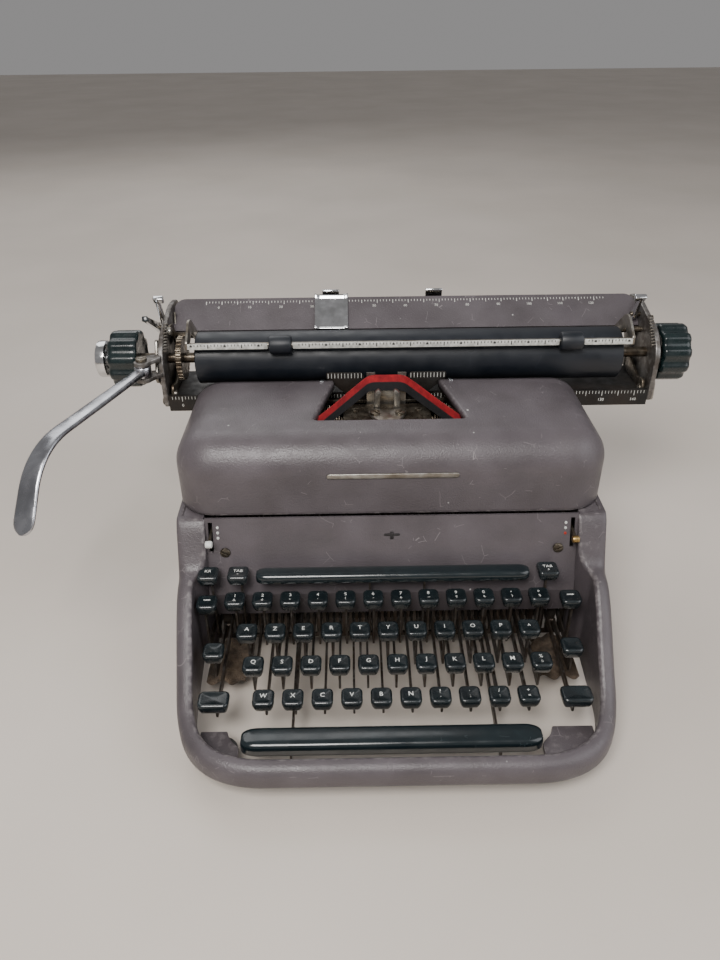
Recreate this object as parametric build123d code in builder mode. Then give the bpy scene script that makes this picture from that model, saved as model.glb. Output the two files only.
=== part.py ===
"""Desk typewriter with a sliding carriage, built as separate working pieces (millimetres).

+X runs to the typist's right, +Y to the back and +Z up; z = 0 is the desk.
Heights are measured from the desk, depths from the front edge of the keyboard
rim, and widths from the body's middle plane (carriage pieces: from the
carriage's own middle, which stands CARRIAGE_REST to the right).
"""
from math import cos, radians, sin

from build123d import *

import os

os.makedirs("parts", exist_ok=True)

# ---------------------------------------------------------------- overall sizes
BODY_X = 3.0                # body's middle plane from the origin
FRONT_Y = -174.5            # front edge of the rim from the origin
BODY_DEPTH = 349.0
BODY_HALF_WIDTH = 149.0
BASE_Z = 15.0               # underside of the casing
RIM_Z = 34.0                # top of the rolled front rim
SHOULDER_Z = 92.0           # top of the arms beside the keyboard
SEAM_Z = 121.0              # where the top cover meets the lower casing
COVER_TOP_Z = 175.5
CARRIAGE_REST = 18.2        # carriage's middle from the body's middle, at rest

# ---------------------------------------------------------------- lower casing
FRONT_HALF_WIDTH = 139.0
FRONT_CORNER_R = 45.0
RIM_WIDTH = 11.0
SIDE_WALL = 4.0
FRONT_FOOT = (113.5, 31.0)  # under the ledges in the well's front corners
LEDGE_THICKNESS = 4.0
LEDGE_LEFT_X = -101.5       # where each ledge stops short of the space bar
LEDGE_RIGHT_X = 92.5
SHOULDER_Y = 113.0          # depth at which the arms reach their full height
CHEEK_Y = 120.0             # where the sides reach their full width
WELL_BACK_Y = 127.0         # front of the cheeks beside the front plate
PLATE_HALF_WIDTH = 129.6    # half the gap between the cheeks
REAR_TOP_Z = 139.0          # top of the rear walls below the carriage
RUNNING_GAP = 0.4           # between faces that pass one another
SNUG_GAP = 0.05             # radial, between a shaft and its bore

# ---------------------------------------------------------------- front plate
PLATE_TOP_Y = 139.0
PLATE_CREASE_Y = 123.0
PLATE_CREASE_Z = 66.0
PLATE_LIP_Y = 125.5
PLATE_LIP_Z = 46.0
SHEET = 1.5
SLOT_X = 125.5              # lever slots beside the cheeks
SLOT_LOW_Z = 97.0
SLOT_HIGH_Z = 118.0
SCREW_HEAD_R = 3.6
SCREW_HEAD_HEIGHT = 1.4
SCREW_SLOT = 0.8
SCREW_X = 116.0
SCREW_Z = 97.0

# ---------------------------------------------------------------- top cover
COVER_FRONT_Y = 141.0
COVER_BACK_Y = 243.0
COVER_CORNER_R = 28.0
COVER_EDGE_R = 24.0
COVER_WALL = 2.0
WINDOW_FRONT_Y = 177.0
WINDOW_FRONT_HALF = 56.0
WINDOW_BACK_HALF = 42.0
WINDOW_CORNER_R = 6.0
HINGE_R = 2.0               # knuckles the cover tips forward on
HINGE_Y = 143.6
HINGE_Z = 123.7
HINGE_X = (88.0, 108.0)     # reach of a knuckle, from the middle

# ---------------------------------------------------------------- keyboard
KEY_PITCH = 19.05
CAP_WIDTH = 14.0
CAP_DEPTH = 13.5
CAP_HEIGHT = 8.7
CAP_FOOT = 10.5             # width of the cap's underside
STEM_DEPTH = 4.0
STEM_GRIP = 4.0             # how far a stem stands in its cap
LEVER_THICKNESS = 1.5
LEVER_HEIGHT = 6.0
FULCRUM_Y = 250.0
FULCRUM_Z = 45.0
FULCRUM_R = 3.0
BOSS_R = 6.0
LEVER_FRONT_Z = 27.0        # underside of a lever below the front row
LEVER_RISE = 0.075          # how steeply levers climb to the back
COMB_Y = 132.0
COMB_THICKNESS = 2.0
SLOT_CLEARANCE = 0.45       # each side of a lever in the comb

LOWER_ROW = {"y": 50.0, "top": 43.4, "first": -86.2, "keys": 10, "slot": 6}
HOME_ROW = {"y": 70.0, "top": 53.2, "first": -94.0, "keys": 11, "slot": 4}
UPPER_ROW = {"y": 89.5, "top": 64.3, "first": -99.4, "keys": 11, "slot": 3}
NUMBER_ROW = {"y": 109.0, "top": 75.7, "first": -108.9, "keys": 12, "slot": 1}
HOME_KEYS = ("q", "s", "d", "f", "g", "h", "j", "k", "l", "m", "percent")
LEVER_PITCH = KEY_PITCH / 4  # four rows of levers share each key pitch
FIRST_LEVER_X = -113.4

SIDE_KEY_Z = 75.7
TAB_Y = 118.6
TAB_TOP_Z = 90.5
TAB_CAP_HEIGHT = 8.3
TAB_STEM_Y = 119.2
TAB_STEM_DEPTH = 2.6
TAB_BAR_HALF = 93.8
SPACE_Y = 26.0
SPACE_TOP_Z = 35.0
SPACE_HEIGHT = 12.0
SPACE_DEPTH = 17.0
SPACE_HALF = 94.0
SPACE_MIDDLE_X = -4.5
SPACE_ARM_Z = 12.0
SHIFT_Y = 49.0
SHIFT_TOP_Z = 43.4
SHIFT_WIDTH = 20.0
SHIFT_TIE_Y = 150.0
SHIFT_TIE_Z = 20.0
SHIFT_TIE_R = 2.0
LOCK_Y = 78.0
LOCK_TOP_Z = 58.0
LOCK_PIVOT_Y = 125.0
LOCK_PIVOT_Z = 35.5
LOCK_PIN_R = 1.5

# ---------------------------------------------------------------- inner frame
PLATE_THICKNESS = 5.0
FRAME_TOP_Z = 124.0
TRAY_Z = 143.0
SPOOL_X = 90.0
SPOOL_Y = 200.0
SPOOL_R = 22.0
SPOOL_Z = 144.0
SPOOL_HEIGHT = 15.0
SPINDLE_R = 2.5
DRUM_X = -100.0
DRUM_Y = 319.0
DRUM_R = 24.0
DRUM_Z = 98.0
DRUM_HEIGHT = 20.0
STUD_R = 3.0

# ---------------------------------------------------------------- type basket
PRINT_Y = 249.0
PRINT_Z = 186.0
TYPE_RADIUS = 60.0          # from the typebar pivots to the printing point
BASKET_TILT = 35.0
TYPEBARS = 44
BAR_SPREAD = 50.0           # degrees each side of the middle bar
BAR_THICKNESS = 0.8
BAR_SLOT = 1.1
SEGMENT_HALF_BAND = 6.0
SEGMENT_THICKNESS = 8.0

# ---------------------------------------------------------------- carriage
PLATEN_Y = 271.0
PLATEN_Z = 184.0
PLATEN_R = 20.0
PLATEN_HALF = 165.0
SHAFT_R = 4.0
PLATE_INNER = 188.5         # carriage middle to the end plates' inner faces
PLATE_WALL = 4.0
BED_Z = 150.0
BED_THICKNESS = 7.0
BED_FRONT_Y = 258.0
BED_BACK_Y = 306.0
RAIL_Y = 284.0
RAIL_HALF_WIDTH = 12.0
TABLE_LOW = (294.0, 197.5)  # depth and height of the paper table's lower edge
TABLE_HIGH = (317.0, 216.0)
TABLE_THICKNESS = 2.0
STOP_RAIL_Y = 322.0
STOP_RAIL_Z = 206.0
STOP_RAIL_SIZE = 5.0
BAIL_ROD_R = 2.0
BAIL_ROLLER_R = 7.0
BAIL_REACH = PLATEN_R + BAIL_ROLLER_R + 0.42   # platen's axis to the bail rod
BAIL_Y = PLATEN_Y - 0.7513 * BAIL_REACH
BAIL_Z = PLATEN_Z + 0.6601 * BAIL_REACH
BAIL_PIVOT_Y = 288.5
BAIL_PIVOT_Z = 196.0
BAIL_ARM_X = 168.5
KNOB_R = 22.3
KNOB_WIDTH = 22.5
LEFT_KNOB_X = -209.4        # inner face, from the carriage's middle
RIGHT_KNOB_X = 195.3
HUB_X = -184.2              # return lever's pivot, from the body's middle
HUB_Y = 242.0
HUB_Z = 186.0


# ---------------------------------------------------------------- placing helpers
def at(x, y, z):
    """Point from its distances off the middle plane, front edge and desk."""
    return (BODY_X + x, FRONT_Y + y, z)


def level(z):
    """Horizontal plane whose local axes are width and depth."""
    return Plane(origin=at(0, 0, z), x_dir=(1, 0, 0), z_dir=(0, 0, 1))


def upright(x):
    """Plane across the body at x, whose local axes are depth and height."""
    return Plane(origin=at(x, 0, 0), x_dir=(0, 1, 0), z_dir=(1, 0, 0))


def facing(y):
    """Plane facing the typist at depth y, whose local axes are width and height."""
    return Plane(origin=at(0, y, 0), x_dir=(1, 0, 0), z_dir=(0, -1, 0))


def block(x_range, y_range, z_range, mode=Mode.ADD):
    """Rectangular block between three pairs of limits."""
    limits = (x_range, y_range, z_range)
    middle = [(low + high) / 2 for low, high in limits]
    with Locations(at(*middle)):
        Box(*[high - low for low, high in limits], mode=mode)


def rod(x_range, y, z, radius, mode=Mode.ADD):
    """Round rod, or a bore, that runs across the machine."""
    with BuildSketch(upright(x_range[0])) as section:
        with Locations((y, z)):
            Circle(radius)
    extrude(section.sketch, amount=x_range[1] - x_range[0], mode=mode)


def post(x, y, z_range, radius, mode=Mode.ADD):
    """Upright round post, or a bore."""
    with BuildSketch(level(z_range[0])) as section:
        with Locations((x, y)):
            Circle(radius)
    extrude(section.sketch, amount=z_range[1] - z_range[0], mode=mode)


def cam(x):
    """Width of a carriage point from the body's middle, with the carriage at rest."""
    return CARRIAGE_REST + x


# ---------------------------------------------------------------- lower casing
with BuildPart() as lower_casing:
    with BuildSketch(level(BASE_Z)):
        with BuildLine():
            Polyline(
                (-FRONT_HALF_WIDTH, 0),
                (FRONT_HALF_WIDTH, 0),
                (BODY_HALF_WIDTH, CHEEK_Y),
                (BODY_HALF_WIDTH, BODY_DEPTH - SIDE_WALL),
                (-BODY_HALF_WIDTH, BODY_DEPTH - SIDE_WALL),
                (-BODY_HALF_WIDTH, CHEEK_Y),
                close=True,
            )
        outline = make_face()
        fillet(outline.vertices().group_by(Axis.Y)[0], FRONT_CORNER_R)
    extrude(amount=SEAM_Z - BASE_Z)
    # the arms fall from the cheeks to the front rim in an S-curve
    with BuildSketch(upright(-BODY_HALF_WIDTH - 1)):
        with BuildLine():
            Polyline((22, RIM_Z), (-1, RIM_Z), (-1, SEAM_Z + 1), (PLATE_TOP_Y, SEAM_Z + 1))
            Polyline(
                (PLATE_TOP_Y, SEAM_Z + 1),
                (PLATE_TOP_Y - 1, SEAM_Z),
                (CHEEK_Y + 2, SHOULDER_Z - 3),
                (SHOULDER_Y, SHOULDER_Z - 3),
            )
            Bezier((SHOULDER_Y, SHOULDER_Z - 3), (90, SHOULDER_Z - 6), (62, RIM_Z), (22, RIM_Z))
        make_face()
    extrude(amount=2 * BODY_HALF_WIDTH + 2, mode=Mode.SUBTRACT)
    # the well is open from the rim back to the rear and through the bottom
    well_front = FRONT_HALF_WIDTH - RIM_WIDTH + 1
    with BuildSketch(level(BASE_Z)):
        with BuildLine():
            Polyline(
                (-well_front, RIM_WIDTH),
                (well_front, RIM_WIDTH),
                (BODY_HALF_WIDTH - RIM_WIDTH + 1, WELL_BACK_Y),
                (-BODY_HALF_WIDTH + RIM_WIDTH - 1, WELL_BACK_Y),
                close=True,
            )
        well = make_face()
        fillet(well.vertices().group_by(Axis.Y)[0], FRONT_CORNER_R - RIM_WIDTH)
    extrude(amount=SEAM_Z, mode=Mode.SUBTRACT)
    cheek_back = WELL_BACK_Y + SIDE_WALL
    inner = BODY_HALF_WIDTH - SIDE_WALL
    block((-inner, inner), (cheek_back, BODY_DEPTH), (BASE_Z - 1, PLATE_CREASE_Z), Mode.SUBTRACT)
    block(
        (-PLATE_HALF_WIDTH, PLATE_HALF_WIDTH), (WELL_BACK_Y - 1, cheek_back),
        (PLATE_CREASE_Z - 30, SEAM_Z + 1), Mode.SUBTRACT,
    )
    block((-inner, inner), (WELL_BACK_Y - 1, cheek_back), (BASE_Z - 1, PLATE_CREASE_Z - 12), Mode.SUBTRACT)
    block((-inner, inner), (PLATE_TOP_Y + 3, BODY_DEPTH), (PLATE_CREASE_Z - 1, SEAM_Z + 1), Mode.SUBTRACT)
    block(
        (-PLATE_HALF_WIDTH, PLATE_HALF_WIDTH), (cheek_back - 1, PLATE_TOP_Y + 4),
        (PLATE_CREASE_Z - 1, SEAM_Z + 1), Mode.SUBTRACT,
    )
    # ledges in the front corners, which stand on the feet
    for side, start in ((-1, -LEDGE_LEFT_X), (1, LEDGE_RIGHT_X)):
        with BuildSketch(level(BASE_Z)):
            with BuildLine():
                Polyline(
                    (side * start, RIM_WIDTH - 0.5),
                    (side * start, 30),
                    (side * (start + 7), 37),
                    (side * (start + 9), 43),
                    (side * 133, 43),
                    (side * 133, 28),
                    (side * 115, RIM_WIDTH - 0.5),
                    close=True,
                )
            make_face()
        extrude(amount=LEDGE_THICKNESS)
lower_casing.part.label = "lower_casing"
export_step(lower_casing.part, "parts/lower_casing.step")

# ---------------------------------------------------------------- front plate
PLATE_SLOPE = (PLATE_TOP_Y - PLATE_CREASE_Y) / (SEAM_Z - PLATE_CREASE_Z)
screw_y = PLATE_CREASE_Y + (SCREW_Z - PLATE_CREASE_Z) * PLATE_SLOPE
with BuildPart() as front_plate:
    with BuildSketch(upright(-PLATE_HALF_WIDTH + RUNNING_GAP)):
        with BuildLine():
            Polyline(
                (PLATE_TOP_Y, SEAM_Z - RUNNING_GAP),
                (PLATE_CREASE_Y, PLATE_CREASE_Z),
                (PLATE_LIP_Y, PLATE_LIP_Z),
                (PLATE_LIP_Y + SHEET, PLATE_LIP_Z),
                (PLATE_CREASE_Y + SHEET, PLATE_CREASE_Z),
                (PLATE_TOP_Y + SHEET, SEAM_Z - RUNNING_GAP),
                close=True,
            )
        make_face()
    extrude(amount=2 * (PLATE_HALF_WIDTH - RUNNING_GAP))
    for side in (-1, 1):
        slot = (side * SLOT_X - SHEET, side * SLOT_X + SHEET)
        block(slot, (PLATE_CREASE_Y, PLATE_TOP_Y + 4), (SLOT_LOW_Z, SLOT_HIGH_Z), Mode.SUBTRACT)
        with BuildSketch(facing(PLATE_CREASE_Y - 4)):
            with Locations((side * SCREW_X, SCREW_Z)):
                Circle(STEM_DEPTH / 2 + SNUG_GAP)
        extrude(amount=-30, mode=Mode.SUBTRACT)
front_plate.part.label = "front_plate"
export_step(front_plate.part, "parts/front_plate.step")

with BuildPart() as casing_screws:
    for side in (-1, 1):
        with BuildSketch(facing(screw_y - SCREW_HEAD_HEIGHT)):
            with Locations((side * SCREW_X, SCREW_Z)):
                Circle(STEM_DEPTH / 2)
        extrude(amount=-7)
        with BuildSketch(facing(screw_y - SCREW_HEAD_HEIGHT)):
            with Locations((side * SCREW_X, SCREW_Z)):
                Circle(SCREW_HEAD_R)
                Rectangle(2 * SCREW_HEAD_R, SCREW_SLOT, mode=Mode.SUBTRACT)
        extrude(amount=SCREW_HEAD_HEIGHT)
casing_screws.part.label = "casing_screws"
export_step(casing_screws.part, "parts/casing_screws.step")

# ---------------------------------------------------------------- back panel
with BuildPart() as back_panel:
    block(
        (-BODY_HALF_WIDTH, BODY_HALF_WIDTH), (BODY_DEPTH - SIDE_WALL, BODY_DEPTH),
        (BASE_Z + 3, REAR_TOP_Z),
    )
    for side in (-1, 1):
        wing = sorted((side * inner, side * BODY_HALF_WIDTH))
        block(wing, (COVER_BACK_Y + 1, BODY_DEPTH), (SEAM_Z, REAR_TOP_Z))
    edges = back_panel.edges().filter_by(Axis.Z).group_by(Axis.Y)[-1]
    fillet(edges, SIDE_WALL - 0.5)
    for louvre_x in (-90, -45, 0, 45, 90):
        with BuildSketch(facing(BODY_DEPTH + 1)):
            with Locations((louvre_x, 70)):
                with GridLocations(0, 9, 1, 5):
                    SlotOverall(34, 3.4)
        extrude(amount=SIDE_WALL + 2, mode=Mode.SUBTRACT)
back_panel.part.label = "back_panel"
export_step(back_panel.part, "parts/back_panel.step")

# ---------------------------------------------------------------- feet
FOOT_R = 10.0
REAR_FOOT = (BODY_HALF_WIDTH - 8.0, BODY_DEPTH - 27.0)
FEET = (
    (-FRONT_FOOT[0], FRONT_FOOT[1]), FRONT_FOOT, (-REAR_FOOT[0], REAR_FOOT[1]), REAR_FOOT,
)
with BuildPart() as rubber_feet:
    with BuildSketch(level(0)):
        with Locations(*FEET):
            Circle(FOOT_R)
    extrude(amount=BASE_Z, taper=-4)
    fillet(rubber_feet.edges().group_by(Axis.Z)[0], 1.2)
rubber_feet.part.label = "rubber_feet"
export_step(rubber_feet.part, "parts/rubber_feet.step")

# ---------------------------------------------------------------- inner frame
with BuildPart() as main_frame:
    for side in (-1, 1):
        start = -inner if side < 0 else inner - PLATE_THICKNESS
        with BuildSketch(upright(start)):
            with BuildLine():
                Polyline(
                    (148, BASE_Z), (340, BASE_Z), (340, FRAME_TOP_Z), (234, FRAME_TOP_Z),
                    (226, TRAY_Z), (178, TRAY_Z), (172, SEAM_Z - 4), (148, SEAM_Z - 4), close=True,
                )
            make_face()
            with Locations((205, 90)):
                SlotOverall(60, 28, mode=Mode.SUBTRACT)
        extrude(amount=PLATE_THICKNESS)
        tray = sorted((side * 66.0, side * (inner - PLATE_THICKNESS)))
        block(tray, (SPOOL_Y - 20, SPOOL_Y + 24), (TRAY_Z - 3, TRAY_Z))
        post(side * SPOOL_X, SPOOL_Y, (TRAY_Z, SPOOL_Z + SPOOL_HEIGHT + 2), SPINDLE_R)
    tie_half = inner - PLATE_THICKNESS
    block((-tie_half, tie_half), (176, 182), (16, 24))
    block((-tie_half, tie_half), (316, 322), (20, 60))
    block((-tie_half, tie_half), (233, 240), (100, 110))
    post(DRUM_X, DRUM_Y, (60, DRUM_Z + DRUM_HEIGHT + 2), STUD_R)
    for side in (-1, 1):
        block(sorted((side * 20, side * 26)), (236, 240), (110, 156))
main_frame.part.label = "main_frame"
export_step(main_frame.part, "parts/main_frame.step")

with BuildPart() as mainspring_drum:
    post(DRUM_X, DRUM_Y, (DRUM_Z, DRUM_Z + DRUM_HEIGHT), DRUM_R)
    fillet(mainspring_drum.edges(), 2)
    post(DRUM_X, DRUM_Y, (DRUM_Z + 6, DRUM_Z + 14), DRUM_R + 1)
    post(DRUM_X, DRUM_Y, (DRUM_Z - 1, DRUM_Z + DRUM_HEIGHT + 1), STUD_R + SNUG_GAP, Mode.SUBTRACT)
mainspring_drum.part.label = "mainspring_drum"
export_step(mainspring_drum.part, "parts/mainspring_drum.step")

with BuildPart() as carriage_rail:
    rail_reach = (RAIL_Y - RAIL_HALF_WIDTH, RAIL_Y + RAIL_HALF_WIDTH)
    block((-inner, inner), (RAIL_Y - 18, RAIL_Y + 18), (FRAME_TOP_Z, FRAME_TOP_Z + 6))
    block((-inner, inner), (RAIL_Y - 4, RAIL_Y + 4), (FRAME_TOP_Z + 6, BED_Z - 5))
    block((-inner, inner), rail_reach, (BED_Z - 6, BED_Z - RUNNING_GAP))
carriage_rail.part.label = "carriage_rail"
export_step(carriage_rail.part, "parts/carriage_rail.step")


# ---------------------------------------------------------------- keys
def lever_underside(y):
    """Height of a key lever's lower edge at depth y."""
    return LEVER_FRONT_Z + LEVER_RISE * (y - LOWER_ROW["y"])


def key_cap(x, y, top, width=CAP_WIDTH, depth=CAP_DEPTH, height=CAP_HEIGHT, stem_x=None, stem_y=None,
            stem_depth=STEM_DEPTH):
    """Moulded cap, wider at its face than at its foot, with a socket for the stem."""
    taper = CAP_WIDTH - CAP_FOOT
    with BuildSketch(level(top - height)) as foot:
        with Locations((x, y)):
            RectangleRounded(width - taper, depth - taper, 2)
    with BuildSketch(level(top)) as face:
        with Locations((x, y)):
            RectangleRounded(width, depth, 3)
    loft([foot.sketch, face.sketch])
    stem_x = x if stem_x is None else stem_x
    stem_y = y if stem_y is None else stem_y
    half_x = LEVER_THICKNESS / 2 + SNUG_GAP
    half_y = stem_depth / 2 + SNUG_GAP
    block(
        (stem_x - half_x, stem_x + half_x), (stem_y - half_y, stem_y + half_y),
        (top - height - 1, top - height + STEM_GRIP), Mode.SUBTRACT,
    )


def key_lever(x, y, stem_top, stem_depth=STEM_DEPTH):
    """Flat steel lever from the stem below a cap back to the fulcrum shaft."""
    front = y - stem_depth / 2
    back = y + stem_depth / 2
    with BuildSketch(upright(x - LEVER_THICKNESS / 2)) as profile:
        with BuildLine():
            Polyline(
                (front, lever_underside(front)),
                (FULCRUM_Y, lever_underside(FULCRUM_Y)),
                (FULCRUM_Y, lever_underside(FULCRUM_Y) + LEVER_HEIGHT),
                (back, lever_underside(back) + LEVER_HEIGHT),
                (back, stem_top),
                (front, stem_top),
                close=True,
            )
        make_face()
        with Locations((FULCRUM_Y, FULCRUM_Z)):
            Circle(BOSS_R)
            Circle(FULCRUM_R + SNUG_GAP, mode=Mode.SUBTRACT)
    extrude(profile.sketch, amount=LEVER_THICKNESS)


def key(x, y, top, lever_x, width=CAP_WIDTH):
    """One key: its cap and its lever."""
    key_cap(x, y, top, width=width, stem_x=lever_x)
    key_lever(lever_x, y, top - CAP_HEIGHT + STEM_GRIP - SNUG_GAP)


def key_x(row, number):
    """Middle of a key in its row."""
    return row["first"] + KEY_PITCH * number


def lever_x(row, number):
    """Middle of that key's lever; the rows' levers interleave evenly."""
    return FIRST_LEVER_X + LEVER_PITCH * (row["slot"] + 4 * number)


def key_row(row):
    """Every key of one row."""
    for number in range(row["keys"]):
        key(key_x(row, number), row["y"], row["top"], lever_x(row, number))


with BuildPart() as number_row_keys:
    key_row(NUMBER_ROW)
number_row_keys.part.label = "number_row_keys"
export_step(number_row_keys.part, "parts/number_row_keys.step")

with BuildPart() as upper_row_keys:
    key_row(UPPER_ROW)
upper_row_keys.part.label = "upper_row_keys"
export_step(upper_row_keys.part, "parts/upper_row_keys.step")

with BuildPart() as lower_row_keys:
    key_row(LOWER_ROW)
lower_row_keys.part.label = "lower_row_keys"
export_step(lower_row_keys.part, "parts/lower_row_keys.step")

for number, letter in enumerate(HOME_KEYS):
    with BuildPart() as home_key:
        key(key_x(HOME_ROW, number), HOME_ROW["y"], HOME_ROW["top"], lever_x(HOME_ROW, number))
    home_key.part.label = f"key_{letter}"
    export_step(home_key.part, f"parts/key_{letter}.step")

# keys at the two ends of the number row
BACKSPACE = {"x": -127.6, "lever": -129.4}
MARGIN_RELEASE = {"x": 121.7, "lever": 123.6}
with BuildPart() as backspace_key:
    key(BACKSPACE["x"], NUMBER_ROW["y"] - 3, SIDE_KEY_Z, BACKSPACE["lever"])
backspace_key.part.label = "backspace_key"
export_step(backspace_key.part, "parts/backspace_key.step")

with BuildPart() as margin_release_key:
    key(MARGIN_RELEASE["x"], NUMBER_ROW["y"] - 3, SIDE_KEY_Z, MARGIN_RELEASE["lever"])
margin_release_key.part.label = "margin_release_key"
export_step(margin_release_key.part, "parts/margin_release_key.step")


def tab_key(x, stem_x):
    """One of the keys in front of the front plate, on a stem at its back edge."""
    key_cap(
        x, TAB_Y, TAB_TOP_Z, depth=CAP_DEPTH, height=TAB_CAP_HEIGHT, stem_x=stem_x,
        stem_y=TAB_STEM_Y, stem_depth=TAB_STEM_DEPTH,
    )
    stem_top = TAB_TOP_Z - TAB_CAP_HEIGHT + STEM_GRIP - SNUG_GAP
    key_lever(stem_x, TAB_STEM_Y, stem_top, TAB_STEM_DEPTH)


MARGIN_SET = {"x": -127.0, "lever": -125.4}
TAB_CLEAR = {"x": -106.4, "lever": -104.8}
TAB_SET = {"x": 107.0, "lever": 107.0}
with BuildPart() as margin_set_key:
    tab_key(MARGIN_SET["x"], MARGIN_SET["lever"])
margin_set_key.part.label = "margin_set_key"
export_step(margin_set_key.part, "parts/margin_set_key.step")

with BuildPart() as tab_clear_key:
    tab_key(TAB_CLEAR["x"], TAB_CLEAR["lever"])
tab_clear_key.part.label = "tab_clear_key"
export_step(tab_clear_key.part, "parts/tab_clear_key.step")

with BuildPart() as tab_set_key:
    tab_key(TAB_SET["x"], TAB_SET["lever"])
tab_set_key.part.label = "tab_set_key"
export_step(tab_set_key.part, "parts/tab_set_key.step")


def between_levers(slot):
    """Middle of the gap that follows a lever slot."""
    return FIRST_LEVER_X + LEVER_PITCH * (slot + 0.5)


TAB_BAR_LEVERS = (between_levers(20), between_levers(28))
with BuildPart() as tab_bar:
    with BuildSketch(level(TAB_TOP_Z - TAB_CAP_HEIGHT)):
        with Locations((0, TAB_Y)):
            RectangleRounded(2 * TAB_BAR_HALF - 6, 9.5, 3)
    with BuildSketch(level(TAB_TOP_Z)):
        with Locations((0, TAB_Y)):
            RectangleRounded(2 * TAB_BAR_HALF, 13, 4)
    loft()
    for stem_x in TAB_BAR_LEVERS:
        half_x = LEVER_THICKNESS / 2 + SNUG_GAP
        half_y = TAB_STEM_DEPTH / 2 + SNUG_GAP
        block(
            (stem_x - half_x, stem_x + half_x), (TAB_STEM_Y - half_y, TAB_STEM_Y + half_y),
            (TAB_TOP_Z - TAB_CAP_HEIGHT - 1, TAB_TOP_Z - TAB_CAP_HEIGHT + STEM_GRIP), Mode.SUBTRACT,
        )
        stem_top = TAB_TOP_Z - TAB_CAP_HEIGHT + STEM_GRIP - SNUG_GAP
        key_lever(stem_x, TAB_STEM_Y, stem_top, TAB_STEM_DEPTH)
tab_bar.part.label = "tab_bar"
export_step(tab_bar.part, "parts/tab_bar.step")

# ---------------------------------------------------------------- space bar
SPACE_LEVERS = (between_levers(9), between_levers(37))
space_foot = SPACE_TOP_Z - SPACE_HEIGHT
with BuildPart() as space_bar:
    with BuildSketch(level(space_foot)):
        with Locations((SPACE_MIDDLE_X, SPACE_Y)):
            RectangleRounded(2 * SPACE_HALF - 6, SPACE_DEPTH - 5, 5)
    with BuildSketch(level(SPACE_TOP_Z)):
        with Locations((SPACE_MIDDLE_X, SPACE_Y)):
            RectangleRounded(2 * SPACE_HALF, SPACE_DEPTH, 7)
    loft()
    for arm_x in SPACE_LEVERS:
        half_x = LEVER_THICKNESS / 2
        block(
            (arm_x - half_x - SNUG_GAP, arm_x + half_x + SNUG_GAP),
            (SPACE_Y - STEM_DEPTH / 2 - SNUG_GAP, SPACE_Y + STEM_DEPTH / 2 + SNUG_GAP),
            (space_foot - 1, space_foot + STEM_GRIP), Mode.SUBTRACT,
        )
        with BuildSketch(upright(arm_x - half_x)):
            with BuildLine():
                Polyline(
                    (SPACE_Y - STEM_DEPTH / 2, SPACE_ARM_Z),
                    (FULCRUM_Y, FULCRUM_Z - LEVER_HEIGHT / 2),
                    (FULCRUM_Y, FULCRUM_Z + LEVER_HEIGHT / 2),
                    (SPACE_Y + STEM_DEPTH / 2, SPACE_ARM_Z + LEVER_HEIGHT),
                    (SPACE_Y + STEM_DEPTH / 2, space_foot + STEM_GRIP - SNUG_GAP),
                    (SPACE_Y - STEM_DEPTH / 2, space_foot + STEM_GRIP - SNUG_GAP),
                    close=True,
                )
            make_face()
            with Locations((FULCRUM_Y, FULCRUM_Z)):
                Circle(BOSS_R)
                Circle(FULCRUM_R + SNUG_GAP, mode=Mode.SUBTRACT)
        extrude(amount=LEVER_THICKNESS)
space_bar.part.label = "space_bar"
export_step(space_bar.part, "parts/space_bar.step")

# ---------------------------------------------------------------- shift and its lock
SHIFT_LEFT = {"x": -118.0, "lever": -116.8}
SHIFT_RIGHT = {"x": 116.0, "lever": 114.8}
LOCK_LEFT = {"x": -120.7, "lever": -120.9}
LOCK_RIGHT = {"x": 118.0, "lever": 118.9}
with BuildPart() as shift_keys:
    for shift in (SHIFT_LEFT, SHIFT_RIGHT):
        key_cap(shift["x"], SHIFT_Y, SHIFT_TOP_Z, width=SHIFT_WIDTH, stem_x=shift["lever"])
        key_lever(shift["lever"], SHIFT_Y, SHIFT_TOP_Z - CAP_HEIGHT + STEM_GRIP - SNUG_GAP)
        # the lug that hangs down to the tie rod
        lug = (shift["lever"] - LEVER_THICKNESS / 2, shift["lever"] + LEVER_THICKNESS / 2)
        block(
            lug, (SHIFT_TIE_Y - 4, SHIFT_TIE_Y + 4),
            (SHIFT_TIE_Z - SHIFT_TIE_R - 1, lever_underside(SHIFT_TIE_Y) + 1),
        )
        # the pin that carries the lock key's lever
        lock = LOCK_LEFT if shift is SHIFT_LEFT else LOCK_RIGHT
        pin = sorted((shift["lever"], lock["lever"] + (1.5 if lock is LOCK_RIGHT else -1.5)))
        rod(pin, LOCK_PIVOT_Y, LOCK_PIVOT_Z, LOCK_PIN_R)
    gap = SNUG_GAP + LEVER_THICKNESS / 2
    rod((SHIFT_LEFT["lever"] + gap, SHIFT_RIGHT["lever"] - gap), SHIFT_TIE_Y, SHIFT_TIE_Z, SHIFT_TIE_R)
shift_keys.part.label = "shift_keys"
export_step(shift_keys.part, "parts/shift_keys.step")

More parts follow.
